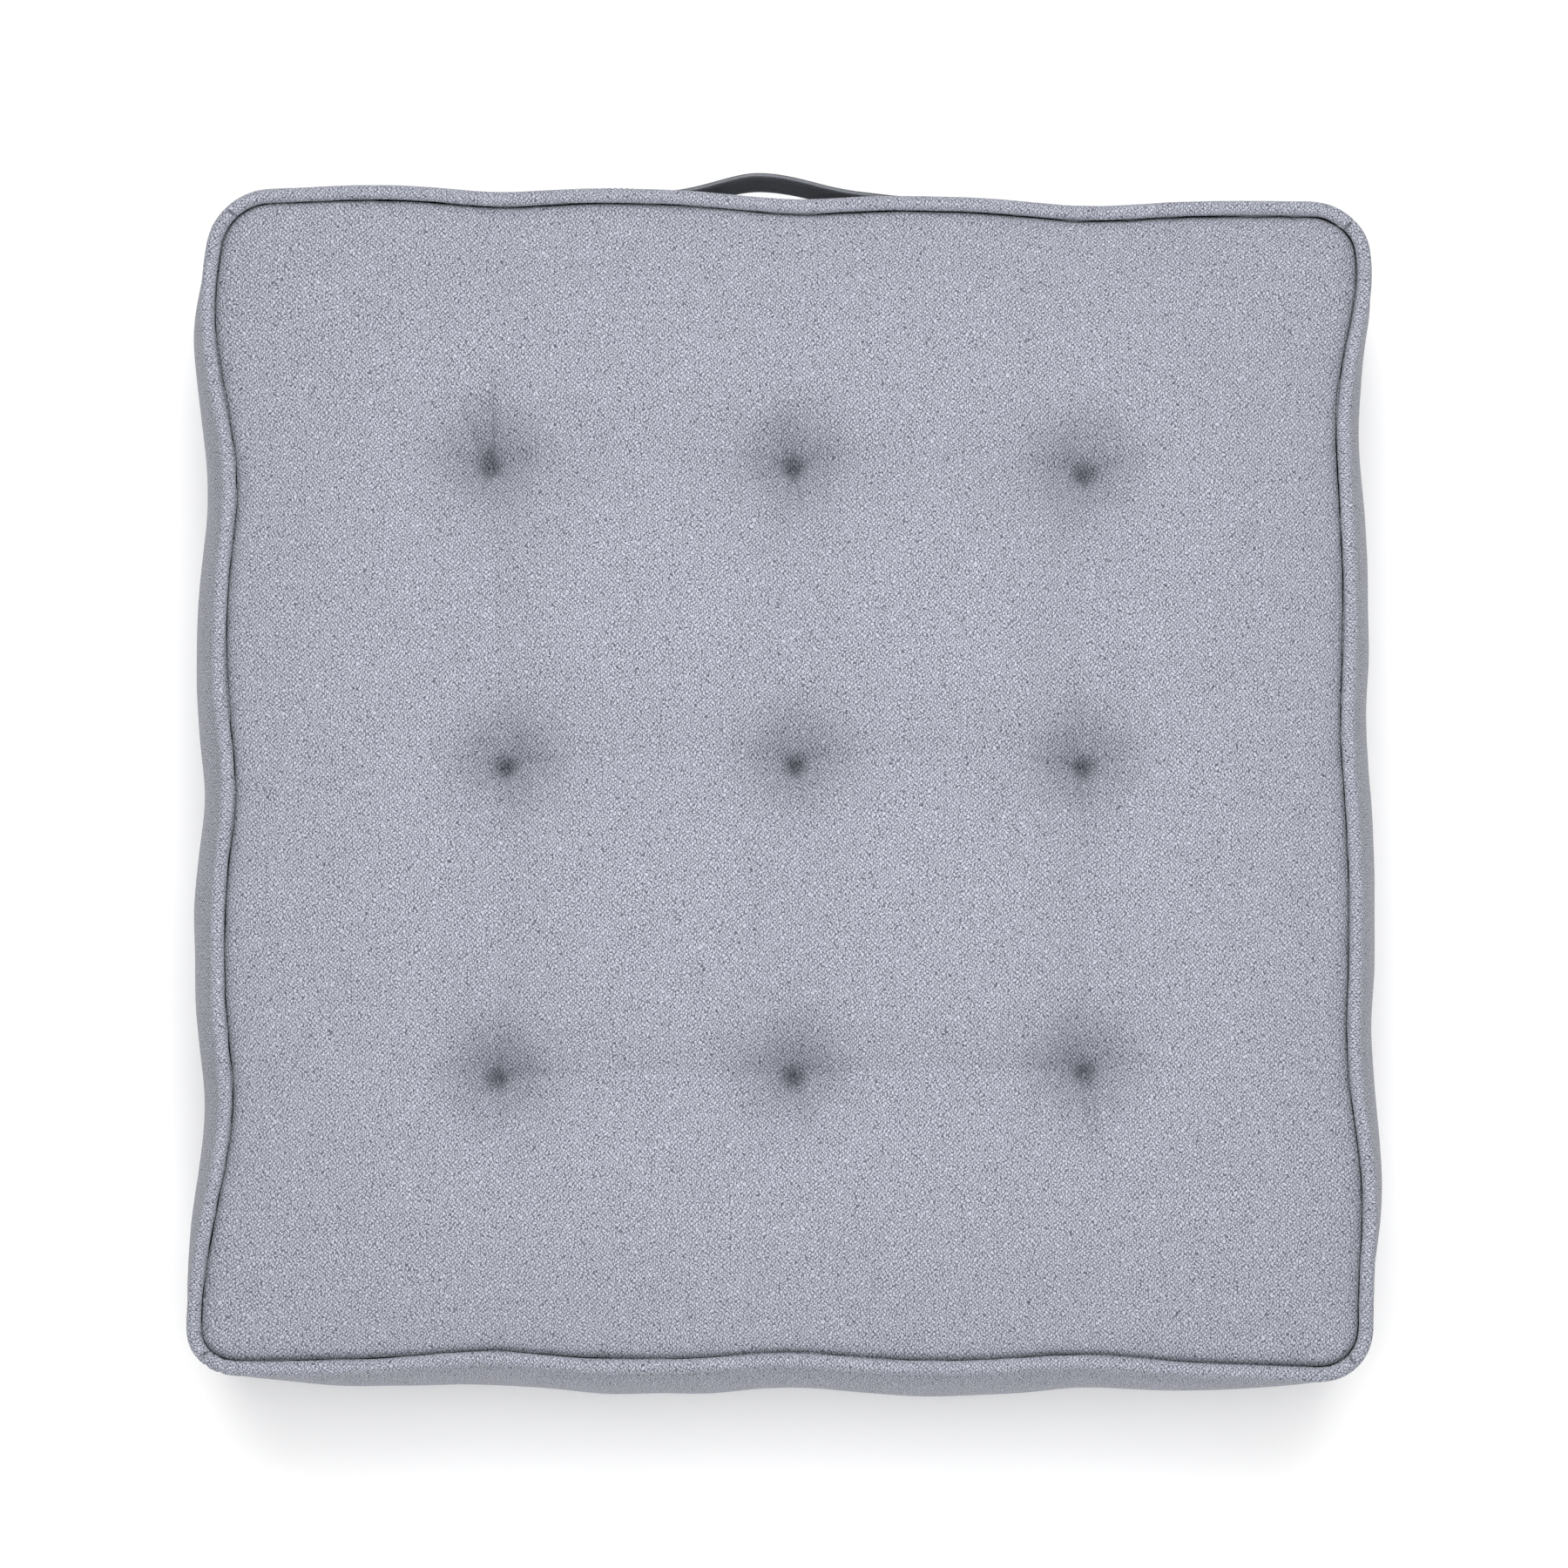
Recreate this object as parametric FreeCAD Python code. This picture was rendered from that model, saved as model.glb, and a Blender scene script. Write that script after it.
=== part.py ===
"""Square tufted floor cushion with piped edges and a strap handle on its back border.

Millimetres. The origin is the middle of the underside. +X is the right side, +Y the back, where the
handle is, and +Z is up. Every piece is a separate closed solid with a small gap to its neighbours.
"""
import FreeCAD, Part
import math
import os

Vector = FreeCAD.Vector
os.makedirs("parts", exist_ok=True)

# ---- driving dimensions ----
PANEL_WIDTH = 464.0  # seam to seam, along X
PANEL_DEPTH = 478.0  # seam to seam, along Y
CORNER_RADIUS = 28.0  # of the seam line at the four corners
HEIGHT = 110.0  # from the floor to the crown of the top panel
BOTTOM_SEAM_Z = 10.0
TOP_SEAM_Z = 98.0
CLOTH = 1.0  # thickness of the cover cloth
SIDE_BULGE = 15.0  # how far the border swells beyond the seam line
CLEARANCE = 0.3  # between the filling and the cloth round it

WELT_RADIUS = 3.6  # the piping's cloth tube, outside
WELT_CORD_RADIUS = 2.4  # the cord inside it
WELT_OFFSET = 3.75  # centre of the piping outside the seam line
BORDER_EDGE_OFFSET = 4.0  # the border's sewn edges outside the seam line
BORDER_EDGE_DROP = 4.0  # from a seam's height to the border's sewn edge
HALF_MITRE_DEG = 44.7  # each border strip's share of a corner, short of the seam between two strips

TUFT_SPREAD = 30.0  # radius at which a tuft's dimple leaves the flat of the panel
TUFT_DEPTH = 28.0
TUFT_CENTRES = {  # hand tufted, so the rows are not quite straight
    "back_left": (-125.0, 132.0),
    "back_centre": (2.0, 132.0),
    "back_right": (124.0, 129.0),
    "middle_left": (-118.0, 6.0),
    "middle_centre": (3.0, 7.0),
    "middle_right": (123.0, 6.0),
    "front_left": (-121.0, -124.0),
    "front_centre": (2.0, -123.0),
    "front_right": (123.0, -121.0),
}
TWINE_RADIUS = 0.5
TWINE_HALF_PITCH = 1.1  # half the distance between the two legs of a twine loop
TWINE_HOLE_RADIUS = 0.7
TWINE_RISE = 0.2  # how far a leg stands out of the cloth before the loop turns
KNOT_RADIUS = 1.4
KNOT_TILT_DEG = 35.0  # keeps the knot's seam line off the twine's

STRAP_WIDTH = 25.0
STRAP_THICKNESS = 1.6
STRAP_GAP = 0.2  # between the strap's sewn ends and the border
STRAP_BOW = 7.5  # how far the strap's inner face stands off at its peak
STRAP_PEAK_X = -13.0
STRAP_LEFT_X = -63.0  # where the sewn ends stop and the free span starts
STRAP_RIGHT_X = 62.0
STRAP_SEWN_LENGTH = 18.0
GRIP_LEFT_X = -33.0  # the part of the free span that lifts
GRIP_RIGHT_X = 16.0
GRIP_GAP = 0.3
THREAD_RADIUS = 0.35
STITCH_INSET = 2.0  # from the strap's edges to its stitching

# ---- dimensions that follow ----
HALF_WIDTH = PANEL_WIDTH / 2
HALF_DEPTH = PANEL_DEPTH / 2
RUN_X = HALF_WIDTH - CORNER_RADIUS  # half of a straight run along X
RUN_Y = HALF_DEPTH - CORNER_RADIUS
MIDDLE_Z = (BOTTOM_SEAM_Z + TOP_SEAM_Z) / 2
TUFT_NECK = TUFT_SPREAD - TUFT_DEPTH  # radius of the dimple at its bottom
BACK_FACE_Y = HALF_DEPTH + SIDE_BULGE

# name: (turn about Z, distance from the middle to the seam line, half the straight run)
SIDES = {
    "right": (0, HALF_WIDTH, RUN_Y),
    "back": (90, HALF_DEPTH, RUN_X),
    "left": (180, HALF_WIDTH, RUN_Y),
    "front": (270, HALF_DEPTH, RUN_X),
}


def section_point(x, z):
    """A point of a cross-section. x is measured outwards from the seam line."""
    return Vector(x, 0, z)


def section_arc(x, z, radius, start_deg, end_deg):
    """An arc of a cross-section about (x, z)."""
    points = []
    for degrees in (start_deg, (start_deg + end_deg) / 2, end_deg):
        turn = math.radians(degrees)
        points.append(section_point(x + radius * math.cos(turn), z + radius * math.sin(turn)))
    return Part.Arc(*points).toShape()


def section_line(start, end):
    return Part.LineSegment(start, end).toShape()


def start_of(edge):
    return edge.valueAt(edge.FirstParameter)


def end_of(edge):
    return edge.valueAt(edge.LastParameter)


def closed_face(edges):
    """A face from edges in order, with a straight edge across each gap between them."""
    outline = []
    for edge, following in zip(edges, edges[1:] + edges[:1]):
        outline.append(edge)
        if end_of(edge).distanceToPoint(start_of(following)) > 1e-6:
            outline.append(section_line(end_of(edge), start_of(following)))
    return Part.Face(Part.Wire(outline))


def straight_run(face, side):
    """The cross-section drawn out along one side, between the corners."""
    turn, half, run = SIDES[side]
    start = face.translated(Vector(half, -run, 0))
    return turned(start.extrude(Vector(0, 2 * run, 0)), turn)


def corner_run(face, side, degrees):
    """The cross-section carried round the corner at one end of a side. Negative degrees: the other end."""
    turn, half, run = SIDES[side]
    end_y = math.copysign(run, degrees)
    axis = Vector(0, 0, math.copysign(1, degrees))
    start = face.translated(Vector(half, end_y, 0))
    centre = Vector(half - CORNER_RADIUS, end_y, 0)
    return turned(start.revolve(centre, axis, abs(degrees)), turn)


def turned(shape, degrees):
    return shape.rotated(Vector(0, 0, 0), Vector(0, 0, 1), degrees)


def joined(shapes):
    """One solid from shapes that meet face to face."""
    whole = shapes[0].fuse(shapes[1:]).removeSplitter()
    return whole.Solids[0] if len(whole.Solids) == 1 else whole


def ring(face):
    """The cross-section carried all the way round the cushion, as a list of solids."""
    runs = []
    for side in SIDES:
        runs.append(straight_run(face, side))
        runs.append(corner_run(face, side, 90))
    return runs


def border_strip(side):
    """One side border: a cloth band that swells outwards between the two seams."""
    half_height = MIDDLE_Z - BOTTOM_SEAM_Z - BORDER_EDGE_DROP
    rise = SIDE_BULGE - BORDER_EDGE_OFFSET
    radius = (half_height**2 + rise**2) / (2 * rise)
    reach = math.degrees(math.asin(half_height / radius))
    centre_x = SIDE_BULGE - radius
    outer = section_arc(centre_x, MIDDLE_Z, radius, -reach, reach)
    inner = section_arc(centre_x, MIDDLE_Z, radius - CLOTH, reach, -reach)
    face = closed_face([outer, inner])
    pieces = [
        straight_run(face, side),
        corner_run(face, side, HALF_MITRE_DEG),
        corner_run(face, side, -HALF_MITRE_DEG),
    ]
    return joined(pieces)


def welt_cover(seam_z):
    """The cloth tube of the piping round one panel."""
    centre = section_point(WELT_OFFSET, seam_z)
    outside = Part.Wire(Part.makeCircle(WELT_RADIUS, centre, Vector(0, 1, 0)))
    inside = Part.Wire(Part.makeCircle(WELT_RADIUS - CLOTH, centre, Vector(0, 1, 0)))
    tube = Part.Face(outside).cut(Part.Face(inside)).Faces[0]
    return joined(ring(tube))


def welt_cord(seam_z):
    """The cord inside the piping."""
    centre = section_point(WELT_OFFSET, seam_z)
    disc = Part.Face(Part.Wire(Part.makeCircle(WELT_CORD_RADIUS, centre, Vector(0, 1, 0))))
    return joined(ring(disc))


def flat_plate(inset, low_z, high_z):
    """A rounded rectangle of cloth, set in from the seam line."""
    runs = [Part.makeBox(2 * RUN_X, 2 * RUN_Y, high_z - low_z, Vector(-RUN_X, -RUN_Y, low_z))]
    band = closed_face([
        section_line(section_point(-CORNER_RADIUS, low_z), section_point(-inset, low_z)),
        section_line(section_point(-inset, high_z), section_point(-CORNER_RADIUS, high_z)),
    ])
    return runs + ring(band)


def dimple(crown_z):
    """The cloth of one tuft, drawn down from crown_z in a quarter round to a small cap."""
    neck_z = crown_z - TUFT_DEPTH
    inner_radius = TUFT_DEPTH - CLOTH
    under = section_arc(TUFT_SPREAD, neck_z, inner_radius, 180, 90)
    over = section_arc(TUFT_SPREAD, neck_z, TUFT_DEPTH, 90, 180)
    cap_top = section_line(section_point(TUFT_NECK, neck_z), section_point(0, neck_z))
    cap_under = section_line(
        section_point(0, neck_z - CLOTH), section_point(TUFT_NECK + CLOTH, neck_z - CLOTH)
    )
    face = closed_face([cap_under, under, over, cap_top])
    return face.revolve(Vector(0, 0, 0), Vector(0, 0, 1), 360)


def dimple_hollow(crown_z):
    """The space that one dimple takes from the filling."""
    neck_z = crown_z - TUFT_DEPTH
    floor_z = neck_z - CLOTH - CLEARANCE
    radius = TUFT_DEPTH - CLOTH - CLEARANCE
    neck = TUFT_SPREAD - radius
    wall = section_arc(TUFT_SPREAD, neck_z, radius, 180, 90)
    floor_line = section_line(section_point(0, floor_z), section_point(neck, floor_z))
    lid = section_line(section_point(TUFT_SPREAD, crown_z + 1), section_point(0, crown_z + 1))
    face = closed_face([floor_line, wall, lid])
    return face.revolve(Vector(0, 0, 0), Vector(0, 0, 1), 360)


def leg_holes(radius, low_z, high_z):
    """Two upright cylinders where the legs of a twine loop pass."""
    holes = []
    for y in (-TWINE_HALF_PITCH, TWINE_HALF_PITCH):
        holes.append(Part.makeCylinder(radius, high_z - low_z, Vector(0, y, low_z)))
    return holes


def at_tufts(shapes):
    """Copies of the shapes at every tuft."""
    placed = []
    for x, y in TUFT_CENTRES.values():
        for shape in shapes:
            placed.append(shape.translated(Vector(x, y, 0)))
    return placed


def panel(rise):
    """A tufted panel with its seam line at z 0 and its flat at z rise, curving down to the seam all round."""
    turn_down = closed_face([
        section_arc(-rise, 0, rise, 0, 90),
        section_arc(-rise, 0, rise - CLOTH, 90, 0),
    ])
    sheet = joined(flat_plate(rise, rise - CLOTH, rise) + ring(turn_down))
    openings = at_tufts([Part.makeCylinder(TUFT_SPREAD, 3 * CLOTH, Vector(0, 0, rise - 2 * CLOTH))])
    neck_z = rise - TUFT_DEPTH
    holes = leg_holes(TWINE_HOLE_RADIUS, neck_z - 2 * CLOTH, neck_z + CLOTH)
    pierced = dimple(rise).cut(holes)
    return joined([sheet.cut(openings)] + at_tufts([pierced]))


def upside_down(shape):
    return shape.mirror(Vector(0, 0, 0), Vector(0, 0, 1))


def filling():
    """The stuffing: it fills the cover, with a hollow at each tuft and a passage for the twine."""
    half_height = MIDDLE_Z - BOTTOM_SEAM_Z - BORDER_EDGE_DROP
    rise = SIDE_BULGE - BORDER_EDGE_OFFSET
    border_radius = (half_height**2 + rise**2) / (2 * rise)
    radius = border_radius - CLOTH - CLEARANCE
    reach = math.degrees(math.asin((half_height - 2) / radius))
    low_z = CLOTH + CLEARANCE
    high_z = HEIGHT - low_z
    low_turn = BOTTOM_SEAM_Z
    high_turn = HEIGHT - TOP_SEAM_Z
    face = closed_face([
        section_line(section_point(-CORNER_RADIUS, low_z), section_point(-low_turn, low_z)),
        section_arc(-low_turn, BOTTOM_SEAM_Z, low_turn - low_z, -90, 0),
        section_arc(SIDE_BULGE - border_radius, MIDDLE_Z, radius, -reach, reach),
        section_arc(-high_turn, TOP_SEAM_Z, high_turn - low_z, 0, 90),
        section_line(section_point(-high_turn, high_z), section_point(-CORNER_RADIUS, high_z)),
    ])
    core = Part.makeBox(2 * RUN_X, 2 * RUN_Y, high_z - low_z, Vector(-RUN_X, -RUN_Y, low_z))
    block = joined([core] + ring(face))
    top_hollow = dimple_hollow(HEIGHT)
    bottom_hollow = upside_down(dimple_hollow(0))
    passages = leg_holes(TWINE_HOLE_RADIUS, TUFT_DEPTH, HEIGHT - TUFT_DEPTH)
    return block.cut(at_tufts([top_hollow, bottom_hollow] + passages))


def twine_loop():
    """One tufting loop of waxed twine: up through the filling, over the cap and back, knotted below."""
    low_z = TUFT_DEPTH - TWINE_RISE
    high_z = HEIGHT - TUFT_DEPTH + TWINE_RISE
    pieces = leg_holes(TWINE_RADIUS, low_z, high_z)
    for z, axis in ((high_z, Vector(1, 0, 0)), (low_z, Vector(-1, 0, 0))):
        centre = Vector(0, TWINE_HALF_PITCH, z)
        disc = Part.Face(Part.Wire(Part.makeCircle(TWINE_RADIUS, centre, Vector(0, 0, 1))))
        pieces.append(disc.revolve(Vector(0, 0, z), axis, 180))
    knot = Part.makeSphere(KNOT_RADIUS)
    knot.rotate(Vector(0, 0, 0), Vector(1, 1, 0), KNOT_TILT_DEG)
    pieces.append(knot.translated(Vector(0, 0, low_z - TWINE_HALF_PITCH)))
    return joined(pieces)


def strap_bend(end_x):
    """The inner edge's two equal arcs from a sewn end out to the peak: centres, radius and turn."""
    length = abs(STRAP_PEAK_X - end_x)
    radius = (length**2 + STRAP_BOW**2) / (4 * STRAP_BOW)
    foot = (end_x, BACK_FACE_Y + STRAP_GAP + radius)
    crest = (STRAP_PEAK_X, BACK_FACE_Y + STRAP_GAP + STRAP_BOW - radius)
    reach = math.degrees(math.asin(length / 2 / radius))
    return foot, crest, radius, reach


def plan_arc(centre, radius, start_deg, end_deg):
    """An arc in plan, seen from above, about centre. 90 degrees points to the back."""
    points = []
    for degrees in (start_deg, (start_deg + end_deg) / 2, end_deg):
        turn = math.radians(degrees)
        x = centre[0] + radius * math.cos(turn)
        y = centre[1] + radius * math.sin(turn)
        points.append(Vector(x, y, 0))
    return Part.Arc(*points).toShape()


def strap_edge(offset):
    """The strap's line in plan from left to right, offset outwards from its inner face."""
    left_foot, crest_left, left_radius, left_reach = strap_bend(STRAP_LEFT_X)
    right_foot, crest_right, right_radius, right_reach = strap_bend(STRAP_RIGHT_X)
    flat_y = BACK_FACE_Y + STRAP_GAP + offset
    far_left = Vector(STRAP_LEFT_X - STRAP_SEWN_LENGTH, flat_y, 0)
    far_right = Vector(STRAP_RIGHT_X + STRAP_SEWN_LENGTH, flat_y, 0)
    return [
        section_line(far_left, Vector(STRAP_LEFT_X, flat_y, 0)),
        plan_arc(left_foot, left_radius - offset, -90, -90 + left_reach),
        plan_arc(crest_left, left_radius + offset, 90 + left_reach, 90),
        plan_arc(crest_right, right_radius + offset, 90, 90 - right_reach),
        plan_arc(right_foot, right_radius - offset, -90 - right_reach, -90),
        section_line(Vector(STRAP_RIGHT_X, flat_y, 0), far_right),
    ]


def whole_strap():
    inner = strap_edge(0)
    outer = strap_edge(STRAP_THICKNESS)
    left_end = section_line(start_of(outer[0]), start_of(inner[0]))
    right_end = section_line(end_of(inner[-1]), end_of(outer[-1]))
    face = Part.Face(Part.Wire(Part.__sortEdges__(inner + [right_end] + outer + [left_end])))
    face.translate(Vector(0, 0, MIDDLE_Z - STRAP_WIDTH / 2))
    return face.extrude(Vector(0, 0, STRAP_WIDTH))


def strap_between(strap, low_x, high_x):
    """The stretch of the strap between two upright planes."""
    reach_y = 40.0
    corner = Vector(low_x, BACK_FACE_Y - reach_y / 2, MIDDLE_Z - STRAP_WIDTH)
    return strap.common(Part.makeBox(high_x - low_x, reach_y, 2 * STRAP_WIDTH, corner)).Solids[0]


def thread(start, end):
    """A straight stitch line with rounded ends."""
    along = end - start
    line = Part.makeCylinder(THREAD_RADIUS, along.Length, start, along)
    return [line, Part.makeSphere(THREAD_RADIUS, start), Part.makeSphere(THREAD_RADIUS, end)]


def box_stitching(low_x):
    """The square and cross of thread that holds one sewn end of the strap, on its outer face."""
    y = BACK_FACE_Y + STRAP_GAP + STRAP_THICKNESS + THREAD_RADIUS
    left = low_x + STITCH_INSET
    right = low_x + STRAP_SEWN_LENGTH - STITCH_INSET
    low = MIDDLE_Z - STRAP_WIDTH / 2 + STITCH_INSET
    high = MIDDLE_Z + STRAP_WIDTH / 2 - STITCH_INSET
    corners = [Vector(left, y, low), Vector(right, y, low), Vector(right, y, high), Vector(left, y, high)]
    lines = list(zip(corners, corners[1:] + corners[:1]))
    lines += [(corners[0], corners[2]), (corners[1], corners[3])]
    threads = []
    for start, end in lines:
        threads += thread(start, end)
    return joined(threads)


def save(name, shape):
    """Writes one piece and prints what it is."""
    solid = shape.Solids[0]
    print(f"{name}: {len(shape.Solids)} solid, valid {solid.isValid()}, {solid.Volume / 1000:.2f} cm3")
    solid.exportStep(f"parts/{name}.step")


top_panel = panel(HEIGHT - TOP_SEAM_Z)
top_panel.translate(Vector(0, 0, TOP_SEAM_Z))
save("top_panel", top_panel)
bottom_panel = upside_down(panel(BOTTOM_SEAM_Z))
bottom_panel.translate(Vector(0, 0, BOTTOM_SEAM_Z))
save("bottom_panel", bottom_panel)
for side_name in SIDES:
    save(f"border_{side_name}", border_strip(side_name))
for level, seam_height in (("top", TOP_SEAM_Z), ("bottom", BOTTOM_SEAM_Z)):
    save(f"{level}_welt_cover", welt_cover(seam_height))
    save(f"{level}_welt_cord", welt_cord(seam_height))
save("filling", filling())
loop = twine_loop()
for place, (tuft_x, tuft_y) in TUFT_CENTRES.items():
    save(f"tuft_twine_{place}", loop.translated(Vector(tuft_x, tuft_y, 0)))
strap = whole_strap()
left_sewn_x = STRAP_LEFT_X - STRAP_SEWN_LENGTH
save("handle_end_left", strap_between(strap, left_sewn_x - 1, GRIP_LEFT_X - GRIP_GAP))
save("handle_strap", strap_between(strap, GRIP_LEFT_X, GRIP_RIGHT_X))
save("handle_end_right", strap_between(strap, GRIP_RIGHT_X + GRIP_GAP, STRAP_RIGHT_X + STRAP_SEWN_LENGTH + 1))
save("handle_stitches_left", box_stitching(left_sewn_x))
save("handle_stitches_right", box_stitching(STRAP_RIGHT_X))
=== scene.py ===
import math

import bpy
import numpy as np
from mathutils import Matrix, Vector
from mathutils.bvhtree import BVHTree


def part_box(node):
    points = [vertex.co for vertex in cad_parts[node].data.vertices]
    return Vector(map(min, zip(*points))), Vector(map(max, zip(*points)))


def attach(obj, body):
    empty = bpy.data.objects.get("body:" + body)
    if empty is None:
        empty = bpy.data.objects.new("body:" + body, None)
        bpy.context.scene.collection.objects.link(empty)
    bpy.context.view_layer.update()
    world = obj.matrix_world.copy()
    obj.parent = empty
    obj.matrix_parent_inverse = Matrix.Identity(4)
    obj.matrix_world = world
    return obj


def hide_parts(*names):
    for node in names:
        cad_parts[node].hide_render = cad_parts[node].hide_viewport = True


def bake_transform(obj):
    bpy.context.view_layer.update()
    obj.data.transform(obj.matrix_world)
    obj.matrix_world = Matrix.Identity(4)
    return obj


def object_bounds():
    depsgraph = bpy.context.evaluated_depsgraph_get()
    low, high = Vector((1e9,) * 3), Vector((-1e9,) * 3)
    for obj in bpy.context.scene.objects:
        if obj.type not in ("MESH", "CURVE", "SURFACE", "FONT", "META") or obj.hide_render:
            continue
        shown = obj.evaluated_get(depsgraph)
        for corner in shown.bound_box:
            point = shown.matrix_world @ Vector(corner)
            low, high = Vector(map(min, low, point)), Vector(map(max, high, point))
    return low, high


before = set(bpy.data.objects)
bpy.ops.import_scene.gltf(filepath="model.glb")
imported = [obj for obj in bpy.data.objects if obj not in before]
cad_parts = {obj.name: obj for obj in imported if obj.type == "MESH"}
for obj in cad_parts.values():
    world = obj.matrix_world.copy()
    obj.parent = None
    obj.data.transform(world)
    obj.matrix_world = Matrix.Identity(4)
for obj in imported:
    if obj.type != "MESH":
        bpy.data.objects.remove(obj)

cad_low, cad_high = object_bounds()

SEED = 7
MM = 0.001
UV_NAME = "cloth"

# Cover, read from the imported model
ROWS = ("back", "middle", "front")
COLUMNS = ("left", "centre", "right")
TUFT_NAMES = [f"{row}_{column}" for row in ROWS for column in COLUMNS]
panel_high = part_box("top_panel")[1]
welt_low, welt_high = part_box("top_welt_cover")
lower_welt_low, lower_welt_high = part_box("bottom_welt_cover")
HALF_WIDTH = panel_high.x
HALF_DEPTH = panel_high.y
TOP_SEAM_Z = (welt_low.z + welt_high.z) / 2
BOTTOM_SEAM_Z = (lower_welt_low.z + lower_welt_high.z) / 2
MIDDLE_Z = (TOP_SEAM_Z + BOTTOM_SEAM_Z) / 2
CROWN = cad_high.z - TOP_SEAM_Z
SIDE_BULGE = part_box("border_right")[1].x - HALF_WIDTH
WELT_RADIUS = 0.84 * (welt_high.z - welt_low.z) / 2
WELT_OFFSET = WELT_RADIUS + 0.2 * MM
CORNERS = ((-1, -1), (1, -1), (1, 1), (-1, 1))
CORNER_RADII = {(-1, -1): 12 * MM, (1, -1): 15 * MM, (-1, 1): 18 * MM, (1, 1): 15 * MM}
TUFTS = np.array([sum(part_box(f"tuft_twine_{name}"), Vector()).to_2d() / 2 for name in TUFT_NAMES])
ROW_PAIRS = [(k, k + 1) for k in range(9) if k % 3 < 2]
COLUMN_PAIRS = [(k, k + 3) for k in range(6)]
ROW_LINES = [TUFTS[3 * k : 3 * k + 3, 1].mean() for k in range(3)]
COLUMN_LINES = [TUFTS[k::3, 0].mean() for k in range(3)]
TUFT_TOP_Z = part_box("tuft_twine_middle_centre")[1].z

# Stuffed shape that the filling presses the cover towards
CROWN_REACH = 95 * MM
CROWN_POWER = 2.2
DIMPLE_WIDE_DEPTH = 7.5 * MM
DIMPLE_WIDE_RADIUS = 32 * MM
DIMPLE_NARROW_DEPTH = 8 * MM
DIMPLE_NARROW_RADIUS = 8 * MM
PIT_BELOW_STITCH = 1.0 * MM
PIT_DEPTH = 10 * MM
PIT_RADIUS = 3.4 * MM
FUNNEL_DEPTH = 13 * MM
FUNNEL_RADIUS = 18 * MM
FUNNEL_SHIFT = 2.5 * MM
FUNNEL_CORNERS = 1.35
FUNNEL_SAG = 2 * MM
VALLEY_DEPTH = 6 * MM
VALLEY_WIDTH = 17 * MM
ROW_BOW = 3.5 * MM
ROW_CREASE = 2.0 * MM
COLUMN_CREASE = 1.4 * MM
CREASE_REACH = 4.5 * MM
LUMP_SIZES = ((48 * MM, 0.8 * MM), (23 * MM, 0.3 * MM))
LUMP_FADE = 30 * MM
BORDER_BULGE = {"left": 1.17, "right": 1.03, "front": 1.13, "back": 0.66}
BORDER_ROUNDNESS = 0.75
BORDER_CORNER_LOSS = 0.6

# Folds that run out of every tuft, by heading in degrees
SHORT_FOLD_HEADINGS = (-90, 72, 104, 15, 165)
FOLD_START = 4 * MM

# Long folds that run out of single tufts: tuft, heading in degrees, length and depth in mm
LONG_FOLD_WIDTH = 2.2 * MM
LONG_FOLD_BOW = 0.03
LONG_FOLDS = (
    ("back_left", 87, 50, 4.4),
    ("back_left", 106, 44, 3.8),
    ("back_left", 176, 48, 0.9),
    ("back_centre", 97, 34, 2.4),
    ("back_centre", -88, 30, 1.2),
    ("back_right", -84, 50, 1.2),
    ("back_right", 12, 40, 1.6),
    ("middle_centre", -91, 28, 1.8),
    ("middle_right", -87, 90, 1.6),
    ("front_left", 93, 34, 1.2),
    ("front_centre", -80, 32, 1.2),
    ("front_right", -86, 58, 3.4),
)

# How far each side's seam stands out of its straight line, in mm: at its middle, more of it towards the
# right or back end, drawn in beside each tuft, and that place's shift
SEAM_LINES = {
    "left": (0.6, 0.7, 4.1, -10.4),
    "right": (-1.4, -2.5, 1.9, 15.9),
    "front": (-1.1, 1.3, 2.9, -1.6),
    "back": (0.4, -5.8, 2.7, -0.2),
}
SEAM_PULL_REACH = 32 * MM
SEAM_PULL_FADE = 6

# How the seam swells near the ends of each side, in mm: the swell, how far in from the end, and its reach
SEAM_SWELLS = {
    "left": ((8.3, 14, 48), (5.3, 44, 33)),
    "right": ((3.0, 67, 32), (8.0, 25, 35)),
    "front": ((1.4, 0, 55), (1.2, 0, 55)),
    "back": ((-4.2, 0, 55), (1.2, 0, 55)),
}

# Pattern grid and cloth simulation
CELLS_ACROSS = 75
CELLS_DEEP = 77
BORDER_ROWS = 14
GRID_SAMPLES = 4001
TUFT_FINENESS = 1.4
TUFT_FINE_REACH = 14 * MM
SEAM_FINENESS = 0.9
SEAM_FINE_REACH = 18 * MM
TUFT_SNAP_REACH = 20 * MM
DIMPLE_CUT_SHARE = 0.8
FOUNDATION_WEIGHT = 0.31
SEAM_WEIGHT = 0.6
TUFTED_FRAME = 14
LAST_FRAME = 28
CLOTH_SETTINGS = {
    "quality": 5, "mass": 0.02, "air_damping": 2, "pin_stiffness": 50,
    "tension_stiffness": 80, "compression_stiffness": 20, "shear_stiffness": 2,
    "tension_damping": 5, "compression_damping": 5, "shear_damping": 5,
    "bending_stiffness": 0.5, "bending_damping": 0.5, "bending_stiffness_max": 5,
    "use_pressure": True, "uniform_pressure_force": 20,
}

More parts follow.
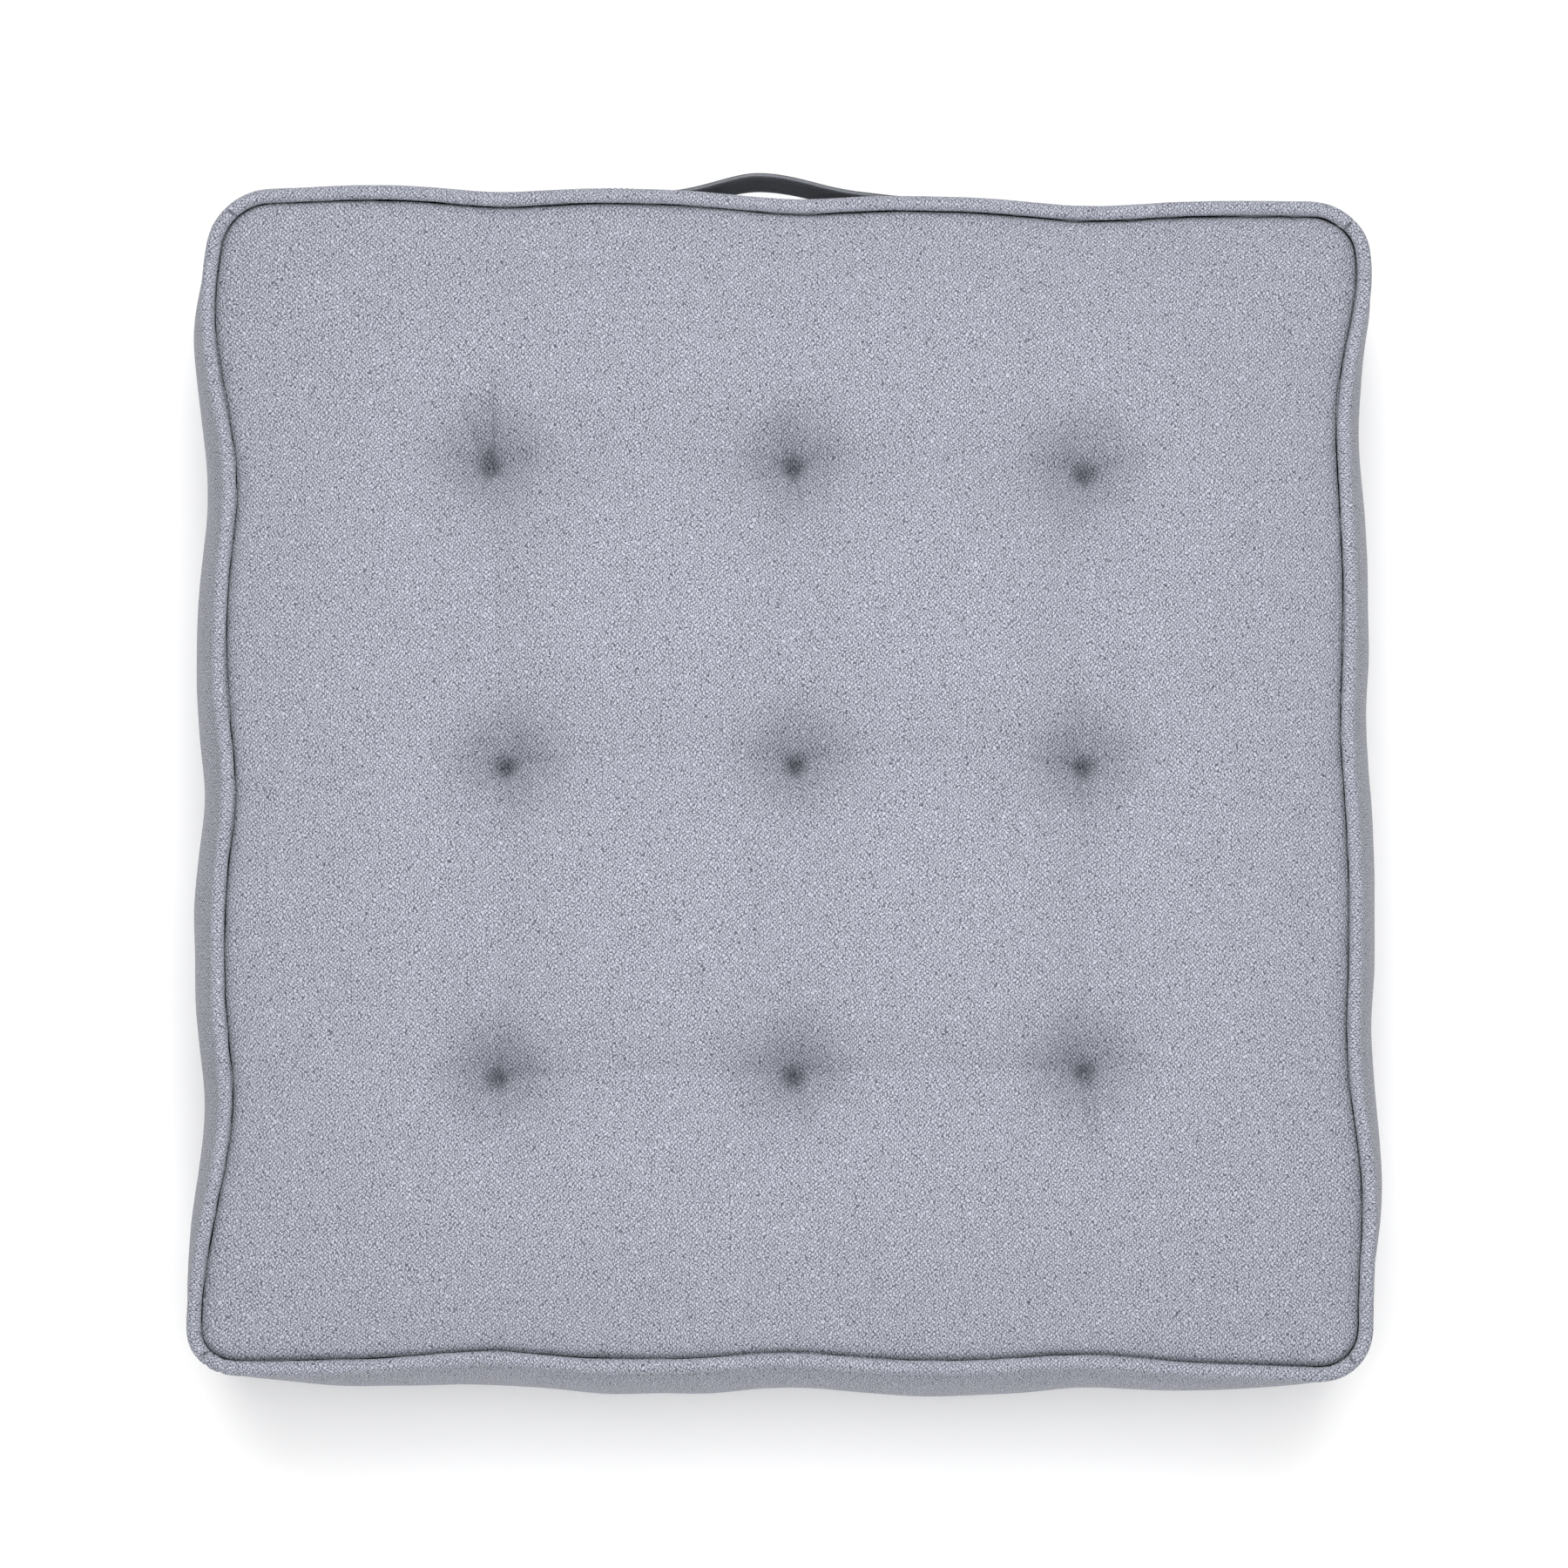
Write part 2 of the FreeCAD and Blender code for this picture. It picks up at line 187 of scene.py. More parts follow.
# Sewn details
SEAM_RELIEF = 3.6 * MM
SEAM_RELIEF_REACH = 2.4 * MM
SEAM_TUCK = 2.1 * MM
SEAM_TUCK_REACH = 40 * MM
PLEAT_DEPTH = 0.45 * MM
PLEAT_START = 4 * MM
PLEAT_REACH = 6.5 * MM
PUCKER_DEPTH = 0.45 * MM
PUCKER_REACH = 13 * MM
BORDER_PUCKER_REACH = 12 * MM
FINE_LUMP_SIZE = 9 * MM
FINE_LUMP_HEIGHT = 0.25 * MM
FINE_LUMP_FADE = 10 * MM
FLOOR_SOFTNESS = 0.4 * MM
ALLOWANCE_RIDGE = 0.6 * MM
ALLOWANCE_WIDTH = 7 * MM
ALLOWANCE_SOFTNESS = 1.8 * MM
BORDER_LUMP_SIZE = 22 * MM
BORDER_LUMP_HEIGHT = 0.5 * MM
BORDER_LUMP_FADE = 20 * MM
CORNER_SEAM_DEPTH = 1.3 * MM
CORNER_SEAM_WIDTH = 1.6 * MM
CORNER_FADE = 8 * MM

# Welts
WELT_STEP = 0.55 * MM
WELT_SIDES = 18
WELT_PATH_ROUNDS = 24
WELT_DIRECTION_ROUNDS = 16
WELT_DENT = 0.12 * MM
WELT_DENT_PITCH = 3.2 * MM
WELT_FOLD_OFFSETS = (-14, -7, -1.5, 5, 12)
WELT_FOLD_WIDTH = 0.9 * MM
WELT_NOTCH_DEPTH = 2.9 * MM
WELT_NOTCH_WIDTH = 0.42 * MM
WELT_SLIT_REACH = 3 * MM
WELT_SLIT_STEP = 0.14 * MM
WELT_LAP_HEIGHT = 0.6 * MM
WELT_LAP_REACH = 3 * MM
WELT_JOIN_INSET = 5 * MM
WELT_JOIN_HALF = 2.4 * MM
WELT_JOIN_DEPTH = 0.5 * MM
WELT_JOIN_WIDTH = 0.7 * MM

# Tufting twine
TWINE_HALF_STITCH = 1.15 * MM
TWINE_SUNK = 0.6 * MM
TWINE_RISE = 1.125 * MM
TWINE_STEP = 0.45 * MM
TWINE_TURNS = 60
PLY_OFFSET = 0.27 * MM
PLY_RADIUS = 0.32 * MM
PLY_SIDES = 8

# Strap
STRAP_THICKNESS = 2.0 * MM
STRAP_CLEARANCE = 0.15 * MM
STRAP_PEAK_X = -13 * MM
STRAP_PEAK_INNER_Y = 257.4 * MM
STRAP_ARCH_POWER = 1.45
STRAP_LEAN = math.radians(3.5)
STRAP_STATIONS = 190
STRAP_SECTION_POINTS = 25
SELVEDGE_SWELL = 0.22
SELVEDGE_INSET = 2.0 * MM
SELVEDGE_WIDTH = 1.2 * MM
SEWN_MARGIN = 2 * MM
THREAD_RADIUS = 0.32 * MM
THREAD_PITCH = 2.6 * MM
THREAD_SUNK = 0.15 * MM
THREAD_ARCH = 0.4 * MM

# Colours and weaves
WEAVE_PITCH = 0.92 * MM
WEAVE_WANDER = 2.8
CLOTH_LIGHT = (0.383, 0.396, 0.453, 1)
CLOTH_DARK = (0.075, 0.079, 0.1, 1)
WEBBING_PITCH = 0.7 * MM
WEBBING_LIGHT = (0.128, 0.132, 0.145, 1)
WEBBING_DARK = (0.046, 0.048, 0.054, 1)
# Pale colour for the lines of stitching, also used for the painted highlight along the strap's edges
WEBBING_STITCH_AND_HIGHLIGHT = (0.24, 0.25, 0.275, 1)
WEBBING_LINE_INSET = 3.2 * MM
WEBBING_LINE_HALF = 0.35 * MM
TWINE_LIGHT = (0.5, 0.52, 0.58, 1)
TWINE_DARK = (0.34, 0.36, 0.42, 1)
THREAD_LIGHT = (0.2, 0.205, 0.23, 1)
THREAD_DARK = (0.1, 0.1, 0.12, 1)
FLOOR_LIGHT = (0.97, 0.97, 0.97, 1)
FLOOR_DARK = (0.94, 0.94, 0.94, 1)

# Surroundings: each lamp has a name, a place, a size and a power
FLOOR_HALF = 25.0
ROOM_BRIGHTNESS = 0.53
LAMPS = (
    ("overhead_softbox", (0.02, 0.0, 0.75), 0.8, 5.0),
    ("back_softbox", (-0.1, 1.6, 2.1), 2.2, 41),
    ("front_fill", (0.1, -3.2, 1.5), 1.4, 32),
)
CAMERA_TILT = math.radians(4)
CAMERA_DISTANCE = 1912.6 * MM
CAMERA_AIM = Vector((-1.8 * MM, 1.5 * MM, MIDDLE_Z))
CAMERA_LENS = 104
CAMERA_SENSOR = 36


# ---- small helpers
def lattice_noise(points, cell, seed):
    """Smooth noise from -1 to 1 over a plane, with one random value for each lattice point."""
    size = 128
    table = np.random.default_rng(seed).uniform(-1, 1, (size, size))
    scaled = points / cell + size / 2
    base = np.floor(scaled).astype(int)
    part = scaled - base
    part = part * part * (3 - 2 * part)
    i, j = base[..., 0] % size, base[..., 1] % size
    i2, j2 = (i + 1) % size, (j + 1) % size
    u, v = part[..., 0], part[..., 1]
    near = table[i, j] * (1 - u) + table[i2, j] * u
    far = table[i, j2] * (1 - u) + table[i2, j2] * u
    return near * (1 - v) + far * v


def bell(value, width):
    return np.exp(-(value / width) ** 2)


def unit(vectors):
    return vectors / np.linalg.norm(vectors, axis=-1, keepdims=True)


def mesh_object(name, points, faces, uvs=None):
    """A smooth mesh. uvs gives one coordinate pair for each point, or for each face corner."""
    mesh = bpy.data.meshes.new(name)
    mesh.from_pydata(np.asarray(points).tolist(), [], [tuple(int(k) for k in face) for face in faces])
    if uvs is not None:
        layer = mesh.uv_layers.new(name=UV_NAME)
        corners = np.zeros(len(mesh.loops), np.int32)
        mesh.loops.foreach_get("vertex_index", corners)
        pairs = np.asarray(uvs, float)
        pairs = pairs[corners] if len(pairs) == len(mesh.vertices) else pairs
        layer.data.foreach_set("uv", pairs.ravel())
    mesh.polygons.foreach_set("use_smooth", [True] * len(mesh.polygons))
    mesh.update()
    piece = bpy.data.objects.new(name, mesh)
    bpy.context.scene.collection.objects.link(piece)
    return piece


def points_of(piece, kind="co"):
    """The places of a piece's points, or with the kind "normal" their normals."""
    flat = np.zeros(len(piece.data.vertices) * 3)
    piece.data.vertices.foreach_get(kind, flat)
    return flat.reshape(-1, 3)


def set_points(piece, points):
    piece.data.vertices.foreach_set("co", points.ravel())
    piece.data.update()


def pattern_of(piece):
    """The pattern coordinates of each point, from the piece's UV layer."""
    corners = np.zeros(len(piece.data.loops), np.int32)
    piece.data.loops.foreach_get("vertex_index", corners)
    flat = np.zeros(len(corners) * 2)
    piece.data.uv_layers[UV_NAME].data.foreach_get("uv", flat)
    pattern = np.zeros((len(piece.data.vertices), 2))
    pattern[corners] = flat.reshape(-1, 2)
    return pattern


def subdivide(piece, levels):
    modifier = piece.modifiers.new("subdivide", "SUBSURF")
    modifier.levels = levels
    modifier.boundary_smooth = "PRESERVE_CORNERS"
    evaluated = piece.evaluated_get(bpy.context.evaluated_depsgraph_get())
    finer = bpy.data.meshes.new_from_object(evaluated)
    piece.modifiers.clear()
    piece.data = finer
    finer.name = piece.name


def strip_faces(rows, columns, close_rows=False, close_columns=False):
    """Quads between the points of a rows x columns grid."""
    index = np.arange(rows * columns).reshape(rows, columns)
    if close_rows:
        index = np.vstack([index, index[:1]])
    if close_columns:
        index = np.hstack([index, index[:, :1]])
    corners = (index[:-1, :-1], index[:-1, 1:], index[1:, 1:], index[1:, :-1])
    return np.stack([corner.ravel() for corner in corners], -1)


def capped_faces(rows, columns):
    """The faces of a tube of closed rings, with a flat cap at each end."""
    faces = [tuple(face) for face in strip_faces(rows, columns, False, True)]
    faces.append(tuple(range(columns - 1, -1, -1)))
    faces.append(tuple(range((rows - 1) * columns, rows * columns)))
    return faces


def surface_tree(piece):
    points = [tuple(v.co) for v in piece.data.vertices]
    faces = [tuple(face.vertices) for face in piece.data.polygons]
    return BVHTree.FromPolygons(points, faces)


def arc_lengths(path):
    """How far along a path each of its points is."""
    return np.concatenate([[0], np.cumsum(np.linalg.norm(np.diff(path, axis=0), axis=1))])


def smoothed(ring):
    """A closed row of points or directions, each one averaged with its neighbours."""
    return (np.roll(ring, 1, 0) + 2 * ring + np.roll(ring, -1, 0)) / 4


def resample(path, step, closed):
    """Points at an even spacing on a smooth curve through path."""
    ring = np.vstack([path, path[:1]]) if closed else path
    lengths = arc_lengths(ring)
    count = int(round(lengths[-1] / step))
    wanted = np.linspace(0, lengths[-1], count + 1)[: count if closed else count + 1]
    k = np.clip(np.searchsorted(lengths, wanted, side="right") - 1, 0, len(ring) - 2)
    t = ((wanted - lengths[k]) / (lengths[k + 1] - lengths[k]))[:, None]
    if closed:
        before, after = path[(k - 1) % len(path)], path[(k + 2) % len(path)]
    else:
        before, after = ring[np.maximum(k - 1, 0)], ring[np.minimum(k + 2, len(ring) - 1)]
    a, b = ring[k], ring[k + 1]
    curve = a * 2 + (b - before) * t + (before * 2 - a * 5 + b * 4 - after) * t**2
    return (curve + (a * 3 - before - b * 3 + after) * t**3) / 2


# ---- pattern of the cover
def grid_lines(half, centres, cells):
    """Positions from -half to half, closer together at the tufts and at the seams."""
    position = np.linspace(-half, half, GRID_SAMPLES)
    density = np.ones_like(position)
    for centre in centres:
        density += TUFT_FINENESS * bell(position - centre, TUFT_FINE_REACH)
    for seam in (-half, half):
        density += SEAM_FINENESS * bell(position - seam, SEAM_FINE_REACH)
    total = np.concatenate([[0], np.cumsum((density[1:] + density[:-1]) / 2)])
    return np.interp(np.linspace(0, total[-1], cells + 1), total, position)


def rounded(plan):
    """Moves the points of a rectangle's corners onto round corners."""
    out = plan.copy()
    for side, radius in CORNER_RADII.items():
        inner = np.array([HALF_WIDTH, HALF_DEPTH]) - radius
        local = (plan * side - inner) / radius
        u, v = local[..., 0], local[..., 1]
        inside = (u > 0) & (v > 0)
        bent_u = u * np.sqrt(np.clip(1 - v * v / 2, 0, 1))
        bent_v = v * np.sqrt(np.clip(1 - u * u / 2, 0, 1))
        bent = np.stack([bent_u, bent_v], -1) * radius + inner
        out = np.where(inside[..., None], bent * side, out)
    return out


def panel_plan():
    """The panel's flat pattern as a grid of points with one on each tuft, and the tufts' grid places."""
    xs = grid_lines(HALF_WIDTH, COLUMN_LINES, CELLS_ACROSS)
    ys = grid_lines(HALF_DEPTH, ROW_LINES, CELLS_DEEP)
    plan = rounded(np.stack(np.meshgrid(xs, ys), -1))
    places = []
    shift = np.zeros_like(plan)
    for tuft in TUFTS:
        distance = np.linalg.norm(plan - tuft, axis=-1)
        place = np.unravel_index(distance.argmin(), distance.shape)
        places.append(place)
        near = bell(np.linalg.norm(plan - plan[place], axis=-1), TUFT_SNAP_REACH)
        shift += (tuft - plan[place]) * near[..., None]
    return plan + shift, places


def nearest_radius(plan):
    """The radius of the corner that each point of the pattern is nearest to."""
    x, y = plan[..., 0], plan[..., 1]
    front = np.where(x < 0, CORNER_RADII[-1, -1], CORNER_RADII[1, -1])
    back = np.where(x < 0, CORNER_RADII[-1, 1], CORNER_RADII[1, 1])
    return np.where(y < 0, front, back)


def edge_distance(plan):
    """How far a point of the pattern lies inside the seam."""
    radius = nearest_radius(plan)
    q = np.abs(plan) - (np.array([HALF_WIDTH, HALF_DEPTH]) - radius[..., None])
    outside = np.linalg.norm(np.maximum(q, 0), axis=-1)
    return radius - outside - np.minimum(q.max(-1), 0)


def nearest_seam_point(plan):
    """The point of the seam that is nearest to each point of the pattern."""
    inner = np.array([HALF_WIDTH, HALF_DEPTH]) - nearest_radius(plan)[..., None]
    core = np.clip(plan, -inner, inner)
    away = plan - core
    length = np.linalg.norm(away, axis=-1, keepdims=True)
    q = np.abs(plan) - inner
    across = q[..., 0] > q[..., 1]
    straight = np.where(across[..., None], np.sign(plan) * [1, 0], np.sign(plan) * [0, 1])
    direction = np.where(length > 1e-6, away / np.maximum(length, 1e-9), straight)
    return plan + direction * edge_distance(plan)[..., None]


def seam_stand_out(side, along, half, tuft_lines):
    """How far one side's seam stands out of its straight line, at each place along it."""
    middle, slant, draw, shift = (value * MM for value in SEAM_LINES[side])
    beside = sum(bell(along - line - shift, SEAM_PULL_REACH) for line in tuft_lines)
    ends = 0
    for end, (swell, inset, reach) in zip((-half, half), SEAM_SWELLS[side]):
        place = end - math.copysign(inset * MM, end)
        ends += swell * MM * bell(along - place, reach * MM)
    return middle + slant * along / half - draw * beside + ends


def pulled_in(plan):
    """The seam drawn in beside the tufts, and standing out at the corners."""
    out = plan.copy()
    halves, lines = (HALF_WIDTH, HALF_DEPTH), (ROW_LINES, COLUMN_LINES)
    for side, axis, end in (("right", 0, 1), ("left", 0, -1), ("back", 1, 1), ("front", 1, -1)):
        across, along = plan[..., axis], plan[..., 1 - axis]
        reach = (np.abs(across) / halves[axis]) ** SEAM_PULL_FADE
        stand_out = seam_stand_out(side, along, halves[1 - axis], lines[axis])
        out[..., axis] += end * (across * end > 0) * reach * stand_out
    return out


# ---- stuffed shape and simulation
def crown_height(plan):
    share = np.clip(edge_distance(plan) / CROWN_REACH, 0, 1)
    return CROWN * (1 - (1 - share) ** CROWN_POWER)


def valley_distance(plan, a, b):
    """How far each point lies from the line between two tufts. The lines along the rows bow to the back."""
    start, end = TUFTS[a], TUFTS[b]
    bow = ROW_BOW if (a, b) in ROW_PAIRS else 0
    along = np.clip(((plan - start) @ (end - start)) / ((end - start) @ (end - start)), 0, 1)
    line = start + along[..., None] * (end - start)
    line[..., 1] += bow * np.sin(math.pi * along)
    return np.linalg.norm(plan - line, axis=-1)


def dimple_depth(plan):
    distance = np.linalg.norm(plan[..., None, :] - TUFTS, axis=-1)
    wide = DIMPLE_WIDE_DEPTH * bell(distance, DIMPLE_WIDE_RADIUS)
    narrow = DIMPLE_NARROW_DEPTH / (1 + (distance / DIMPLE_NARROW_RADIUS) ** 2) ** 1.5
    valleys = [bell(valley_distance(plan, a, b), VALLEY_WIDTH) for a, b in ROW_PAIRS + COLUMN_PAIRS]
    return (wide + narrow).sum(-1) + VALLEY_DEPTH * np.max(valleys, 0)


def lumps(plan, seed):
    """The filling's unevenness, which fades out at the seam."""
    inside = np.clip(edge_distance(plan) / LUMP_FADE, 0, 1)
    layers = [height * lattice_noise(plan, size, seed + k) for k, (size, height) in enumerate(LUMP_SIZES)]
    return inside * sum(layers)


def with_height(plan, height):
    return np.concatenate([plan, height[..., None]], -1)


def mirrored(points):
    """The bottom panel's points, from the top panel's."""
    return points * [1, 1, -1] + [0, 0, 2 * MIDDLE_Z]


def loop_places(rows, columns):
    """Grid places round the seam, from the front left corner towards the right."""
    front = [(0, i) for i in range(columns - 1)]
    right = [(j, columns - 1) for j in range(rows - 1)]
    back = [(rows - 1, i) for i in range(columns - 1, 0, -1)]
    left = [(j, 0) for j in range(rows - 1, 0, -1)]
    return np.array(front + right + back + left).T


def outward(loop):
    tangent = unit(np.roll(loop, -1, 0) - np.roll(loop, 1, 0))
    return np.stack([tangent[:, 1], -tangent[:, 0]], -1)


def border_bulge(direction):
    """How far the border swells out at mid height, at each point of the seam."""
    left, right = direction[:, 0].clip(max=0) ** 2, direction[:, 0].clip(0) ** 2
    front, back = direction[:, 1].clip(max=0) ** 2, direction[:, 1].clip(0) ** 2
    bulge = left * BORDER_BULGE["left"] + right * BORDER_BULGE["right"]
    return SIDE_BULGE * (bulge + front * BORDER_BULGE["front"] + back * BORDER_BULGE["back"])


def cover_layout():
    """Numbers the cover's points, and gives its filled, tufted and cut shapes."""
    plan, tuft_places = panel_plan()
    rows, columns = plan.shape[:2]
    top = np.arange(rows * columns).reshape(rows, columns)
    bottom = top + rows * columns
    drawn = pulled_in(plan)
    seam = loop_places(rows, columns)
    flat_seam, drawn_seam = (shape[seam[0], seam[1]] for shape in (plan, drawn))
    direction = outward(flat_seam)
    share = np.abs(flat_seam) / [HALF_WIDTH, HALF_DEPTH]
    bulge = border_bulge(direction)
    corner_share = 1 - BORDER_CORNER_LOSS * share.min(-1) ** 4
    level = TOP_SEAM_Z + crown_height(plan)
    dimples = dimple_depth(plan)
    filled = [with_height(drawn, level)]
    tufted = [with_height(drawn, level - dimples + lumps(plan, SEED))]
    cut = [with_height(plan, level - DIMPLE_CUT_SHARE * dimples)]
    tufted.append(mirrored(with_height(drawn, level - dimples + lumps(plan, SEED + 10))))
    filled.append(mirrored(filled[0]))
    cut.append(mirrored(cut[0]))
    filled, tufted, cut = ([part.reshape(-1, 3) for part in shape] for shape in (filled, tufted, cut))
    border = np.zeros((BORDER_ROWS + 1, seam.shape[1]), int)
    border[0] = bottom[seam[0], seam[1]]
    border[-1] = top[seam[0], seam[1]]
    for row in range(1, BORDER_ROWS):
        border[row] = 2 * rows * columns + (row - 1) * seam.shape[1] + np.arange(seam.shape[1])
        height = row / BORDER_ROWS
        round_out = (bulge * (4 * height * (1 - height)) ** BORDER_ROUNDNESS)[:, None]
        z = np.full(seam.shape[1], BOTTOM_SEAM_Z + (TOP_SEAM_Z - BOTTOM_SEAM_Z) * height)
        stuffed = with_height(drawn_seam + direction * round_out * corner_share[:, None], z)
        filled.append(stuffed)
        tufted.append(stuffed)
        cut.append(with_height(flat_seam + direction * round_out, z))
    shapes = [np.concatenate(shape) for shape in (filled, tufted, cut)]
    for row, column in tuft_places:
        pit = np.array([*plan[row, column], TUFT_TOP_Z - PIT_BELOW_STITCH + PIT_DEPTH + FUNNEL_SAG])
        shapes[1][top[row, column]] = pit
        shapes[1][bottom[row, column]] = mirrored(pit)
    tuft_points = [int(sheet[row, column]) for sheet in (top, bottom) for row, column in tuft_places]
    arc = arc_lengths(np.vstack([flat_seam, flat_seam[:1]]))
    return {"plan": plan, "top": top, "bottom": bottom, "border": border, "arc": arc,
            "direction": direction, "filled": shapes[0], "tufted": shapes[1], "cut": shapes[2],
            "tuft_points": tuft_points}


def cover_faces(layout):
    """The whole cover's quads, facing outwards."""
    panel = strip_faces(*layout["top"].shape)
    offset = layout["bottom"][0, 0]
    walls = []
    border = np.hstack([layout["border"], layout["border"][:, :1]])
    for low, high in zip(border[:-1], border[1:]):
        walls.append(np.stack([low[:-1], low[1:], high[1:], high[:-1]], -1))
    return np.vstack([panel, panel[:, ::-1] + offset, *walls])


def sewn_cover(layout):
    """Simulates the cover: pulled down at the tufts, stuffed against a soft filling. Returns its points."""
    cover = mesh_object("cover_simulation", layout["filled"], cover_faces(layout))
    cover.shape_key_add(name="filled")
    tufted = cover.shape_key_add(name="tufted")
    cut = cover.shape_key_add(name="cut")
    tufted.data.foreach_set("co", layout["tufted"].ravel())
    cut.data.foreach_set("co", layout["cut"].ravel())
    tufted.value = 0
    tufted.keyframe_insert("value", frame=1)
    tufted.value = 1
    tufted.keyframe_insert("value", frame=TUFTED_FRAME)
    seams = [int(k) for k in np.concatenate([layout["border"][0], layout["border"][-1]])]
    held = cover.vertex_groups.new(name="held")
    held.add(list(range(len(layout["filled"]))), FOUNDATION_WEIGHT, "REPLACE")
    held.add(seams, SEAM_WEIGHT, "REPLACE")
    held.add(layout["tuft_points"], 1.0, "REPLACE")
    stiff = cover.vertex_groups.new(name="stiff")
    stiff.add(seams, 1.0, "REPLACE")
    modifier = cover.modifiers.new("cloth", "CLOTH")
    cloth = modifier.settings
    cloth.rest_shape_key = cut
    cloth.vertex_group_mass = "held"
    cloth.vertex_group_bending = "stiff"
    for name, value in CLOTH_SETTINGS.items():
        setattr(cloth, name, value)
    cloth.effector_weights.gravity = 0
    modifier.collision_settings.use_collision = False
    modifier.point_cache.frame_start = 1
    modifier.point_cache.frame_end = LAST_FRAME
    scene = bpy.context.scene
    for step in range(1, LAST_FRAME + 1):
        scene.frame_set(step)
    evaluated = cover.evaluated_get(bpy.context.evaluated_depsgraph_get())
    settled = evaluated.to_mesh()
    flat = np.zeros(len(settled.vertices) * 3)
    settled.vertices.foreach_get("co", flat)
    evaluated.to_mesh_clear()
    mesh = cover.data
    bpy.data.objects.remove(cover)
    bpy.data.meshes.remove(mesh)
    scene.frame_set(1)
    return flat.reshape(-1, 3)


# ---- sewn detail on the cover
def fold(local, angle, length, depth, width, bow):
    """One narrow fold that starts at a tuft and fades out along its length."""
    along = local @ [math.cos(angle), math.sin(angle)]
    across = local @ [-math.sin(angle), math.cos(angle)] - bow * along**2 / length
    fade = np.clip(along / FOLD_START, 0, 1) * np.clip(1 - along / length, 0, 1)
    return depth * fade * bell(across, width * (0.6 + along.clip(0) / length))


def crease_relief(pattern, seed):
    """Short folds that run out of each tuft, deepest near it."""
    rng = np.random.default_rng(seed)
    relief = np.zeros(len(pattern))
    for tuft in TUFTS:
        for heading in SHORT_FOLD_HEADINGS:
            angle = math.radians(heading + rng.uniform(-9, 9))
            length = rng.uniform(16, 34) * MM
            depth = rng.uniform(0.3, 0.6) * MM
            width = rng.uniform(1.3, 2.2) * MM
            bow = rng.uniform(-0.12, 0.12)
            relief -= fold(pattern - tuft, angle, length, depth, width, bow)
    for name, heading, length, depth in LONG_FOLDS:
        local = pattern - TUFTS[TUFT_NAMES.index(name)]
        angle = math.radians(heading)
        relief -= fold(local, angle, length * MM, depth * MM, LONG_FOLD_WIDTH, LONG_FOLD_BOW)
    return relief


def pit_relief(pattern, seed):
    """Each tuft's pit, pleats and funnel, and the creases between tufts."""
    rng = np.random.default_rng(seed)
    relief = np.zeros(len(pattern))
    for tuft in TUFTS:
        local = pattern - tuft
        distance = np.linalg.norm(local, axis=-1)
        angle = np.arctan2(local[:, 1], local[:, 0])
        pleats = np.cos(7 * angle + rng.uniform(0, 6)) + 0.6 * np.cos(4 * angle + rng.uniform(0, 6))
        ring = (distance / PLEAT_START) ** 2 * bell(distance, PLEAT_REACH)
        relief -= PIT_DEPTH * bell(distance, PIT_RADIUS) + PLEAT_DEPTH * pleats * ring
        diamond = (np.abs(local - [0, FUNNEL_SHIFT]) ** FUNNEL_CORNERS).sum(-1) ** (1 / FUNNEL_CORNERS)
        relief -= FUNNEL_DEPTH * bell(diamond, FUNNEL_RADIUS)
    for a, b in ROW_PAIRS + COLUMN_PAIRS:
        depth = ROW_CREASE if (a, b) in ROW_PAIRS else COLUMN_CREASE
        relief -= depth * np.exp(-valley_distance(pattern, a, b) / CREASE_REACH)
    return relief


def pucker_relief(pattern, seed):
    """Fine gathers that cross the seam and fade inwards."""
    along = nearest_seam_point(pattern)
    gather = lattice_noise(along, 7 * MM, seed) + 0.6 * lattice_noise(along, 3.6 * MM, seed + 1)
    strength = 0.5 + 0.5 * lattice_noise(along, 60 * MM, seed + 2)
    return PUCKER_DEPTH * gather * strength * np.exp(-edge_distance(pattern).clip(0) / PUCKER_REACH)


def finish_panel(piece, up, seed):
    """Adds a panel's tucked edge, gathers, pits and folds, and sets the bottom panel on the floor."""
    pattern = pattern_of(piece)
    inside = edge_distance(pattern).clip(0)
    points = points_of(piece)
    normals = points_of(piece, "normal")
    tucked = SEAM_RELIEF * (1 - np.exp(-inside / SEAM_RELIEF_REACH)) - SEAM_TUCK
    fade = np.exp(-inside / SEAM_TUCK_REACH)
    points[:, 2] += up * (tucked * fade + pit_relief(pattern, seed + 7))
    relief = crease_relief(pattern, seed) + pucker_relief(pattern, seed + 5)
    fine = lattice_noise(pattern, FINE_LUMP_SIZE, seed + 9)
    relief += FINE_LUMP_HEIGHT * fine * np.clip(inside / FINE_LUMP_FADE, 0, 1)
    points += normals * relief[:, None]
    if up < 0:
        low = points[:, 2] - FLOOR_SOFTNESS
        points[:, 2] = FLOOR_SOFTNESS + (low + np.sqrt(low**2 + (2 * FLOOR_SOFTNESS) ** 2)) / 2
        points[:, 2] -= points[:, 2].min()
    set_points(piece, points)


def panel_piece(name, points, sheet, plan, up, levels, seed):
    faces = strip_faces(*sheet.shape)
    faces = faces if up > 0 else faces[:, ::-1]
    piece = mesh_object(name, points[sheet.ravel()], faces, plan.reshape(-1, 2))
    subdivide(piece, levels)
    finish_panel(piece, up, seed)
    return piece


